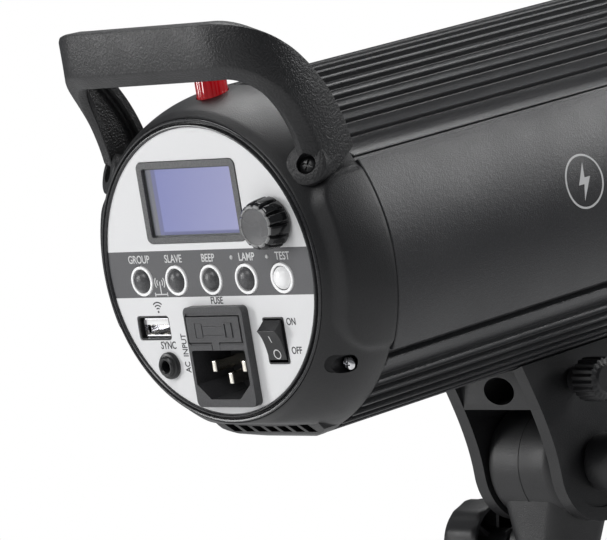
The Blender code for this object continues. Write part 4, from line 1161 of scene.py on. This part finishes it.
def make_switch(rocker):
    x, z = rocker.x, rocker.z
    rim = hollow_plate((x, z), (9.4, 15.3, 0.7), (8.4, 14.3, 0.3), -0.3, 0.2)
    well = hollow_plate((x, z), (8.8, 14.8, 0.5), (8.4, 14.3, 0.3), 0.1, 11.8)
    floor = block((x - 4.3, 11.4, z - 7.3), (x + 4.3, 12.4, z + 7.3))
    piece("switch_frame", joined(fused(rim, well), floor), SATIN, nodes=["switch_housing"], bevel=0.12)

    pivot = HEAD.inverted() @ (joint_place("power_rocker_tip") * MM) / MM
    paddle = plate([rocker_section()], -4.05, 4.05, "X")
    piece("switch_paddle", moved(paddle, pivot), SATIN, "power_rocker", ["power_rocker"], bevel=0.16)

    face = rocker_face(60)

    def on_face(u, v):
        """A point of the printed marks, laid on the paddle's concave face."""
        nearest = min(face, key=lambda point: abs(point[1] - v))
        return (pivot.x + u, pivot.y + nearest[0] - 0.07, pivot.z + v)

    bar = plate([rounded((-0.3, 0.9), (0.36, 2.3), 0.05, 1)], 0, 0.05)
    ring = plate(ring_outline((0.4, -4.3), 1.65, 0.36, 40), 0, 0.05)
    symbols = joined(bar, ring)
    for vertex in symbols.vertices:
        lift = vertex.co.y
        vertex.co = Vector(on_face(vertex.co.x, vertex.co.z)) + Vector((0, lift, 0))
    piece("switch_symbols", symbols, PALE_INK, "power_rocker")


def text_mesh(words, height):
    curve = bpy.data.curves.new("words", "FONT")
    curve.body = words
    curve.size = height
    curve.align_x = "CENTER"
    curve.align_y = "CENTER"
    curve.extrude = 0.03
    curve.offset = height * 0.012
    mesh = evaluated(bpy.data.objects.new("words", curve))
    mesh.transform(AXES["Y"] @ Matrix.Diagonal((TEXT_WIDTH, 1, 1, 1)))
    return mesh


def on_panel(mesh, x, z, turn=0):
    return moved(mesh, (x, -0.04, z), turn, "Y")


def printed(outline):
    """A thin film of ink on the overlay."""
    return plate([outline], -0.05, 0.02)


def arcs(centre, radii, width, start, end):
    """Concentric arcs of a radio-wave pictogram."""
    meshes = []
    for radius in radii:
        outline = arc(centre, radius, start, end, 14) + arc(centre, radius - width, end, start, 14)
        meshes.append(printed(outline))
    return meshes


def make_print(usb, jack, inlet, rocker):
    """Generic words and pictograms on the overlay."""
    pale = []
    for name, words in zip(BUTTON_NAMES, ("GROUP", "SLAVE", "BEEP", "LAMP", "TEST")):
        x, z = button_place(name)
        dx = 1.6 if name in ("lamp", "test") else 0
        pale.append(on_panel(text_mesh(words, 3.7), x + dx, z + LABEL_RISE))
    first_x, row_z = button_place("group")
    second_x = button_place("slave")[0]
    aerial = ((first_x + second_x) / 2, row_z - 0.6)
    pale += arcs(aerial, (1.5, 2.5), 0.38, -42, 42)
    pale += arcs(aerial, (1.5, 2.5), 0.38, 138, 222)
    mast_half = 0.22
    link_half = 2.9
    link_z = row_z - 4.5
    pale.append(printed(rounded((aerial[0], aerial[1] - 1.7), (2 * mast_half, 4.2), 0.05, 1)))
    pale.append(printed(rounded((aerial[0], link_z), (2 * link_half, 0.4), 0.05, 1)))
    for end in (-1, 1):
        pale.append(printed(rounded((aerial[0] + end * link_half, link_z), (0.4, 1.3), 0.05, 1)))
    piece("pale_print", joined(*pale), PALE_INK)

    dark = [on_panel(text_mesh("SYNC", 3.5), jack.x + 0.4, jack.z + 6.6),
            on_panel(text_mesh("ON", 3.3), rocker.x + 8.0, rocker.z + 6.0),
            on_panel(text_mesh("OFF", 3.3), rocker.x + 8.5, rocker.z - 3.4),
            on_panel(text_mesh("FUSE", 3.3), inlet.x, inlet.z + 18.0),
            on_panel(text_mesh("AC  INPUT", 3.3), inlet.x - 18.6, inlet.z + 0.8, -90)]
    wave = (usb.x + 3.4, usb.z + 5.6)
    dark += arcs(wave, (1.2, 2.2, 3.2), 0.42, 48, 132)
    dark.append(printed(circle((wave[0], wave[1] - 0.2), 0.4, 20)))
    piece("dark_print", joined(*dark), DARK_INK)

    lights = []
    dome = [(0, -0.3), (0.6, -0.22), (0.85, 0.1), (0.85, 0.5), (0, 0.5)]
    for name in ("lamp", "test"):
        x, z = button_place(name)
        lights.append(turned(dome, 28, (x - 5.4, z + LABEL_RISE)))
    piece("indicator_lights", joined(*lights), LENS_GREY)


# ================================================================ front end
NOTCH_R = 49.5              # circle of the bayonet's three notches
SCREW_CIRCLE_R = 55.2
TUBE_R = 4.0
TUBE_GAP = 22               # half the opening of the flash tube's ring, in degrees
BULB_R = 16.4
BULB_WALL = 0.9
COIL_R = 1.1
COIL_TURNS = 16


def make_front():
    axis = (0, BODY_AXIS_Z)
    low, high = box_in(HEAD, "front_ring")
    start, end = low.y, high.y
    outer = [(59.3, start), (60.2, start + 1.2), (61.0, start + 5.0)]
    outer += bezier((61.0, start + 5.0), (63.0, start + 14), (66.9, start + 18), (67.2, end - 9.0), 12)[1:]
    outer += bezier((67.2, end - 9.0), (67.4, end - 3.0), (67.0, end - 0.4), (65.2, end), 8)[1:]
    outer += [(61.6, end), (61.0, end - 0.6), (61.0, 256.7), (56.0, 256.7), (54.5, start)]
    ring = turned(outer, 192, axis, closed=True)
    latch = middle_in(HEAD, "release_latch")
    slot = block((-6.6, 235.4, latch.z - 12), (6.6, 270, latch.z + 12))
    piece("flared_ring", cut(ring, slot), PAINT, nodes=["front_ring"], sharp=32)
    grips = []
    for i in range(3):
        y = start + 20.0 + i * 3.0
        profile = [(67.25, y), (67.75, y + 0.4), (67.75, y + 1.0), (67.25, y + 1.4), (66.0, y + 1.4),
                   (66.0, y)]
        grips.append(turned(profile, 192, axis, closed=True))
    piece("ring_ribs", cut(joined(*grips), block((-8.0, 235, 40), (8.0, 265, 80))), FINE)

    face_y = box_in(HEAD, "bayonet_mount")[1].y
    flange = [(60.6, 257.1), (60.6, face_y - 0.3), (60.3, face_y), (50.1, face_y), (49.6, face_y - 0.5),
              (49.6, 257.1)]
    bayonet = turned(flange, 192, axis, closed=True)
    for i in range(3):
        angle = math.radians(90 + 120 * i)
        tool = block((-2.9, 250, -11), (2.9, 270, 11))
        notch = Vector((NOTCH_R * math.cos(angle), 0, BODY_AXIS_Z + NOTCH_R * math.sin(angle)))
        tool.transform(Matrix.Translation(notch) @ Matrix.Rotation(-angle, 4, "Y"))
        bayonet = cut(bayonet, tool)
    pin_z = BODY_AXIS_Z + 57.5
    bayonet = cut(bayonet, turned([(2.35, 270), (2.35, 250)], 32, (0, pin_z)))
    for i in range(6):
        angle = math.radians(60 * i + 15)
        at = (SCREW_CIRCLE_R * math.cos(angle), BODY_AXIS_Z + SCREW_CIRCLE_R * math.sin(angle))
        bayonet = cut(bayonet, turned([(2.0, 270), (2.0, face_y - 1.0), (0.9, face_y - 1.6)], 28, at))
    piece("bayonet_plate", bayonet, STEEL, nodes=["bayonet_mount"], sharp=30)

    slider = fused(block((-5.8, 243.2, latch.z - 1.0), (5.8, 256.6, latch.z + 6.0)),
                   block((-2.8, 242.7, latch.z - 6.5), (2.8, 247.3, latch.z + 1.5)),
                   turned([(2.0, 266.0), (2.0, 243.2)], 28, (0, pin_z)))
    grooves = [block((-7, 244.6 + 2.6 * i, latch.z + 5.2), (7, 245.7 + 2.6 * i, latch.z + 8))
               for i in range(5)]
    piece("latch_slider", cut(slider, *grooves), SATIN, "release_latch", ["release_latch"], bevel=0.35)


def make_light():
    axis = (0, BODY_AXIS_Z)
    y = box_in(HEAD, "front_dish")[0].y
    dish = [(52.8, y + 7.4), (50.0, y + 3.2), (46.0, y + 1.0), (20.4, y + 0.2), (20.0, y + 0.6),
            (20.0, y + 1.4), (45.8, y + 2.2), (49.4, y + 4.2), (52.2, y + 7.8)]
    piece("reflector_dish", turned(dish, 160, axis, closed=True), ALUMINIUM, nodes=["front_dish"])

    low, high = box_in(HEAD, "flash_tube")
    radius = (high.x - low.x) / 2 - TUBE_R
    ring_y = high.y - TUBE_R
    leg_y = 244.2
    turn_y = 251.0
    start = 180 + TUBE_GAP
    path = [(math.sin(math.radians(start)) * radius, leg_y, math.cos(math.radians(start)) * radius)]
    steps = 64
    for i in range(steps + 1):
        angle = math.radians(start + (360 - 2 * TUBE_GAP) * i / steps)
        rise = smooth_step(min(i, steps - i) / 3)
        path.append((math.sin(angle) * radius, turn_y + (ring_y - turn_y) * rise, math.cos(angle) * radius))
    path.append((-path[0][0], path[0][1], path[0][2]))
    tube = wire([(x, along, z + BODY_AXIS_Z) for x, along, z in path], TUBE_R, 6)
    piece("xenon_tube", tube, FROSTED, nodes=["flash_tube"])
    for side in (-1, 1):
        node = "tube_post_" + SIDES[side]
        post = middle_in(HEAD, node)
        profile = [(4.35, 250.0), (5.4, 249.6), (5.8, 246.0), (6.0, y + 2.2), (4.35, y + 2.2)]
        piece("electrode_post_" + SIDES[side], turned(profile, 48, (post.x, post.z), closed=True), CERAMIC,
              nodes=[node])

    socket = [(14.3, 241.8), (17.8, 241.8), (18.5, 241.0), (18.5, 208.2), (15.2, 204.2), (0, 204.2),
              (0, 218.0), (14.3, 218.0)]
    piece("lamp_holder", turned(socket[::-1], 96, axis), CERAMIC, nodes=["lamp_socket"])

    def thread(angle, radius, place):
        return 0.45 * math.sin(angle - place * 2 * math.pi / 3.6) if radius > 12.4 else 0

    base = [(0, 219.2), (5.0, 219.2), (10.5, 221.5), (12.0, 223.5)]
    base += [(12.7, 224.0 + 0.45 * i) for i in range(44)]
    base += [(12.2, 244.4), (0, 244.4)]
    piece("lamp_cap", turned(base, 72, axis, swell=thread), BRASS, nodes=["lamp_base"])
    top = box_in(HEAD, "modelling_lamp")[1].y
    bulb = [(0, 244.6), (12.6, 244.6), (12.6, 246.5)]
    bulb += bezier((12.6, 246.5), (13.0, 254.0), (16.3, 256.0), (BULB_R, 264.0), 8)[1:]
    bulb += [(BULB_R, top - BULB_R)]
    bulb += arc((0, top - BULB_R), BULB_R, 0, 90, 14)[1:-1] + [(0, top)]
    inner_r = BULB_R - BULB_WALL
    inner = [(0, 246.0), (11.4, 246.0)]
    inner += bezier((11.6, 247.5), (12.2, 254.5), (15.4, 256.5), (inner_r, 264.5), 8)
    inner += arc((0, top - BULB_R), inner_r, 0, 90, 14)[:-1] + [(0, top - BULB_WALL)]
    bulb_mesh = cut(turned(bulb, 96, axis), turned(inner, 96, axis))
    piece("lamp_bulb", bulb_mesh, CLEAR, nodes=["modelling_lamp"])
    stem = turned([(0, 246.4), (5.6, 246.4), (4.2, 252.0), (3.0, 262.0), (2.2, 272.0), (0, 273.0)], 40, axis)
    piece("lamp_stem", stem, FROSTED)
    coil = []
    steps = 159
    for i in range(steps + 1):
        t = i / steps
        angle = t * 2 * math.pi * COIL_TURNS
        coil.append((COIL_R * math.cos(angle), 276 + t * 28, BODY_AXIS_Z + COIL_R * math.sin(angle)))
    piece("lamp_filament", wire(coil, 0.22, 1), STEEL)
    wires = [turned([(0.35, 262), (0.35, 306)], 10, (sx * 3.0, BODY_AXIS_Z)) for sx in (-1, 1)]
    piece("lamp_supports", joined(*wires), NICKEL)


# ================================================================ bracket
SADDLE_BACK_Y = 121.5
SADDLE_LOW_Z = -74.5
CHEEK_X = 20.5              # outer faces of the cheeks
CHEEK_R = 20.5              # their round lower ends
LEVER_LEAN = -20            # degrees


def make_yoke():
    """Saddle under the body with two cheeks, and a flared mouth for an umbrella shaft."""
    pivot = tilt_pivot()
    screw_axis = middle_in(HEAD, "umbrella_screw")
    tube_z = screw_axis.z
    front_y = box_in(HEAD, "yoke")[1].y
    saddle = block((-CHEEK_X, SADDLE_BACK_Y, SADDLE_LOW_Z), (CHEEK_X, front_y, -53.5))
    rear = bezier((pivot.y - 31.9, pivot.z + 41.5), (pivot.y - 26.4, pivot.z + 27.5),
                  (pivot.y - 20.9, pivot.z + 13.5), (pivot.y - CHEEK_R, pivot.z), 14)
    front = bezier((pivot.y + CHEEK_R, pivot.z), (pivot.y + 21.5, pivot.z + 10),
                   (pivot.y + 27.5, pivot.z + 24), (pivot.y + 34, pivot.z + 41.5), 12)
    cheek = rear[:-1] + arc((pivot.y, pivot.z), CHEEK_R, 180, 360, 36)[:-1] + front
    panel = [(pivot.y + (y - pivot.y) * 0.80, pivot.z - 1 + (z - pivot.z) * 0.72) for y, z in cheek]
    yoke = fused(saddle, *(side_plate(cheek, side, 15.5, CHEEK_X) for side in (-1, 1)))

    mouth = []
    stations = ((SADDLE_BACK_Y - 1, 7.2, 4.9, 2.6), (SADDLE_BACK_Y + 2, 6.6, 4.7, 1.8),
                (SADDLE_BACK_Y + 6, 5.4, 4.6, 0.7), (SADDLE_BACK_Y + 12, 4.5, 4.5, 0.0),
                (front_y + 2, 4.5, 4.5, 0.0))
    for y, half_w, half_h, centre_x in stations:
        ring = [(centre_x + half_w * u, y, tube_z + half_h * v) for u, v in circle((0, 0), 1, 56)]
        mouth.append(ring)
    tools = [turned([(59.35, pivot.y - 60), (59.35, pivot.y + 60)], 160, (0, BODY_AXIS_Z)),
             loft(mouth),
             turned([(3.4, -40), (3.4, 40)], 40, (pivot.y, pivot.z), "X"),
             turned([(2.9, 3.0), (2.9, 30.0)], 28, (screw_axis.y, tube_z), "X")]
    for node in ("yoke_screw_left", "yoke_screw_right"):
        screw = middle_in(HEAD, node)
        profile = [(4.2, -80), (4.2, -69.0), (2.3, -68.9), (2.3, -50)]
        tools.append(turned(profile, 28, (screw.x, screw.y), "Z"))
    tools += [side_plate(panel, side, 19.8, 22.0) for side in (-1, 1)]
    piece("tilt_yoke", cut(yoke, *tools), FINE, nodes=["yoke"], bevel=0.5, segments=3)


def make_lever():
    hub_x = box_in(HEAD, "tilt_lever")[0].x
    pivot = tilt_pivot()
    hub = turned([(0, hub_x), (9.4, hub_x), (10.0, hub_x + 0.8), (9.6, hub_x + 11.0), (8.2, hub_x + 13.4),
                  (0, hub_x + 14.0)], 72, (pivot.y, pivot.z), "X")
    outline = arc((0, 0), 8.0, 60, 300, 16) + bezier((9, -6.6), (22, -5.0), (34, -4.6), (46, -5.6), 10)
    outline += arc((55, 0), 6.6, -70, 70, 14) + bezier((46, 5.6), (34, 4.6), (22, 5.0), (9, 6.6), 10)
    arm = moved(plate([outline], -3.6, 3.4, "X"), turn=LEVER_LEAN)
    arm = moved(arm, (hub_x + 9.0, pivot.y, pivot.z))
    bore = turned([(3.35, hub_x - 2), (3.35, hub_x + 20)], 32, (pivot.y, pivot.z), "X")
    piece("lock_lever", cut(fused(hub, arm), bore), FINE, "tilt_lever", ["tilt_lever"], bevel=0.9,
          segments=3)

    low, high = box_in(HEAD, "umbrella_screw")
    middle = (low + high) / 2

    def knurl(angle, radius, place):
        return 0.35 * math.cos(20 * angle) if radius > 7 else 0

    thumb = [(0, high.x), (4.5, high.x), (5.2, high.x - 0.8), (7.1, high.x - 1.2), (7.3, high.x - 2.2),
             (7.3, high.x - 9.0), (7.1, high.x - 10.0), (5.0, high.x - 11.4), (4.8, 21.6), (2.45, 21.4),
             (2.45, low.x), (0, low.x)]
    piece("thumb_screw", turned(thumb, 160, (middle.y, middle.z), "X", swell=knurl), FINE, "umbrella_screw",
          ["umbrella_screw"])


def make_stand():
    """Stand adapter: knuckle between the cheeks, barrel below it, clamp knob at the side."""
    tilt_z = joint_place("head_tilt").z
    clamp_z = middle_in(STAND, "stand_knob").z
    foot = box_in(STAND, "stand_adapter")[0].z
    levels = ((tilt_z + 1, 14.8, 14.8, 6.0), (8, 14.6, 14.8, 6.0), (-1, 13.4, 13.8, 7.5),
              (-10, 12.4, 12.8, 9.0), (-22, 11.9, 12.1, 11.0), (foot + 1.2, 11.8, 11.8, 11.7),
              (foot, 11.1, 11.1, 11.0))
    sections = []
    for z, half_x, half_y, corner in levels:
        outline = rounded((0, 0), (2 * half_x, 2 * half_y), min(corner, half_x - 0.05), 10)
        sections.append([(x, y, z) for x, y in outline])
    barrel = loft(sections)
    knuckle = turned([(17.8, -15.0), (19.0, -14.5), (19.8, -13.2), (20.0, -11.0), (20.0, 11.0), (19.8, 13.2),
                      (19.0, 14.5), (17.8, 15.0)], 96, (0, tilt_z), "X")
    seam = plate([circle((0, tilt_z), 20.15, 96), circle((0, tilt_z), 18.0, 96)], -0.25, 0.25, "X")
    boss = turned([(6.2, -17.2), (7.0, -16.4), (7.4, -9.0)], 48, (0, clamp_z), "X")
    adapter = cut(fused(barrel, knuckle, seam, boss),
                  turned([(8.1, foot - 1), (8.1, 0.0)], 72, (0, 0), "Z"),
                  turned([(3.35, -30), (3.35, 30)], 40, (0, tilt_z), "X"),
                  turned([(4.3, -14.6), (4.3, -6.0)], 40, (0, clamp_z), "X"),
                  turned([(3.3, -20.0), (3.3, -12.0)], 32, (0, clamp_z), "X"))
    piece("stand_socket", adapter, FINE, "stand_adapter", ["stand_adapter"], STAND, bevel=0.3, segments=3)

    def scallop(angle, radius, place):
        return -0.55 * (0.5 + 0.5 * math.cos(12 * angle)) if radius > 14.5 else 0

    rim = [(0, -42.0), (11.5, -42.0), (13.6, -41.6), (14.8, -40.2), (15.2, -38.5), (15.2, -28.0),
           (14.9, -26.6), (14.3, -26.0), (13.0, -26.1), (12.6, -27.0), (12.0, -38.6), (5.2, -38.8),
           (4.9, -21.0), (4.4, -20.5), (2.95, -20.4), (2.95, -12.0), (0, -11.6)]
    knob = turned(rim, 144, (0, clamp_z), "X", swell=scallop)
    ribs = []
    for i in range(6):
        web = block((-39.4, -0.7, 4.0), (-28.5, 0.7, 12.9))
        web.transform(Matrix.Translation((0, 0, clamp_z)) @ Matrix.Rotation(math.radians(60 * i), 4, "X"))
        ribs.append(web)
    piece("clamp_knob", joined(knob, *ribs), FINE, "stand_knob", ["stand_knob"], STAND)


# ================================================================ carried-over CAD pieces
def finish_cad_nodes():
    """Finishes for the CAD pieces that stay as they are."""
    finishes = {
        "display_module": GREY, "control_board": BOARD, "power_board": BOARD, "encoder_shaft": STEEL,
        "fan_frame": FINE, "fan_rotor": GREY, "capacitor_left": SATIN, "capacitor_right": SATIN,
        "charge_transformer": STEEL, "chassis_plate": STEEL, "yoke_screw_left": STEEL,
        "yoke_screw_right": STEEL, "tilt_bolt": STEEL, "clamp_pad": BRASS,
    }
    for node, finish in finishes.items():
        obj = frame["nodes"][node]
        obj.data.materials.clear()
        obj.data.materials.append(finish)
        round_edges(obj, 0.15, 2, 40)
        obj.data.shade_smooth()


# ================================================================ studio
CAMERA_AZIMUTH = 45.47
CAMERA_ELEVATION = -0.69
CAMERA_ROLL = -0.81
CAMERA_DISTANCE = 1.5936
CAMERA_AIM = (0.0, 41.8, -8.56)        # in the head frame, millimetres
CAMERA_LENS = 287.84
FLOOR_DROP = 0.25           # metres; the head hangs clear of the floor, as on its stand


def make_camera():
    azimuth = math.radians(CAMERA_AZIMUTH)
    elevation = math.radians(CAMERA_ELEVATION)
    aim = HEAD @ (Vector(CAMERA_AIM) * MM)
    back = Vector((math.sin(azimuth) * math.cos(elevation), -math.cos(azimuth) * math.cos(elevation),
                   math.sin(elevation)))
    camera = bpy.data.objects.new("camera", bpy.data.cameras.new("camera"))
    bpy.context.scene.collection.objects.link(camera)
    camera.data.lens = CAMERA_LENS
    camera.data.sensor_width = 36
    rotation = back.to_track_quat("Z", "Y").to_matrix() @ Matrix.Rotation(math.radians(CAMERA_ROLL), 3, "Z")
    camera.matrix_world = Matrix.Translation(aim + back * CAMERA_DISTANCE) @ rotation.to_4x4()
    bpy.context.scene.camera = camera


def softbox(name, place, target, size, watts):
    lamp = bpy.data.lights.new(name, "AREA")
    lamp.shape = "RECTANGLE"
    lamp.size, lamp.size_y = size
    lamp.energy = watts
    obj = bpy.data.objects.new(name, lamp)
    bpy.context.scene.collection.objects.link(obj)
    direction = Vector(place) - Vector(target)
    obj.matrix_world = Matrix.Translation(place) @ direction.to_track_quat("Z", "Y").to_matrix().to_4x4()
    obj.visible_camera = False


def make_studio():
    scene = bpy.context.scene
    scene.view_settings.view_transform = "Standard"
    world = bpy.data.worlds.new("studio")
    scene.world = world
    world.use_nodes = True
    nodes = world.node_tree.nodes
    links = world.node_tree.links
    seen = nodes["Background"]
    seen.inputs["Color"].default_value = (1, 1, 1, 1)
    seen.inputs["Strength"].default_value = 1.0
    fill = nodes.new("ShaderNodeBackground")
    fill.inputs["Color"].default_value = (0.92, 0.95, 1.0, 1)
    fill.inputs["Strength"].default_value = 0.16
    path = nodes.new("ShaderNodeLightPath")
    mix = nodes.new("ShaderNodeMixShader")
    links.new(path.outputs["Is Camera Ray"], mix.inputs[0])
    links.new(fill.outputs[0], mix.inputs[1])
    links.new(seen.outputs[0], mix.inputs[2])
    links.new(mix.outputs[0], nodes["World Output"].inputs["Surface"])

    floor_z = cad_bounds[0][2] - FLOOR_DROP
    shape = bmesh.new()
    bmesh.ops.create_grid(shape, x_segments=2, y_segments=2, size=12)
    bmesh.ops.translate(shape, verts=shape.verts, vec=(0, 0, floor_z))
    mesh = bpy.data.meshes.new("floor")
    shape.to_mesh(mesh)
    shape.free()
    floor = bpy.data.objects.new("floor", mesh)
    scene.collection.objects.link(floor)
    pale = Finish("pale_floor", (0.90, 0.90, 0.90), 0.6)
    glow = pale.add("ShaderNodeEmission", Color=(1, 1, 1, 1), Strength=1.0)
    seen_by = pale.add("ShaderNodeLightPath")
    blend = pale.add("ShaderNodeMixShader")
    pale.feed(blend.inputs[0], seen_by.outputs["Is Camera Ray"])
    pale.feed(blend.inputs[1], pale.shader.outputs["BSDF"])
    pale.feed(blend.inputs[2], glow.outputs["Emission"])
    pale.feed(pale.tree.nodes["Material Output"].inputs["Surface"], blend.outputs["Shader"])
    mesh.materials.append(pale.material)

    middle = (0, -0.05, 0.08)
    softbox("top_softbox", (-0.35, 0.15, 1.25), middle, (0.8, 0.8), 10.0)
    softbox("rear_softbox", (-1.10, -1.20, 0.22), middle, (0.45, 0.60), 9.0)
    softbox("key_softbox", (0.10, -1.45, 0.95), middle, (0.7, 0.7), 9.0)
    softbox("side_softbox", (0.80, 1.00, 0.95), middle, (0.5, 0.8), 9.0)


# ================================================================ assembly
make_body()
make_side_marks()
make_cap()
make_sensor()
make_vent()
make_handle()
make_panel()
make_front()
make_light()
make_yoke()
make_lever()
make_stand()
finish_cad_nodes()
make_camera()
make_studio()
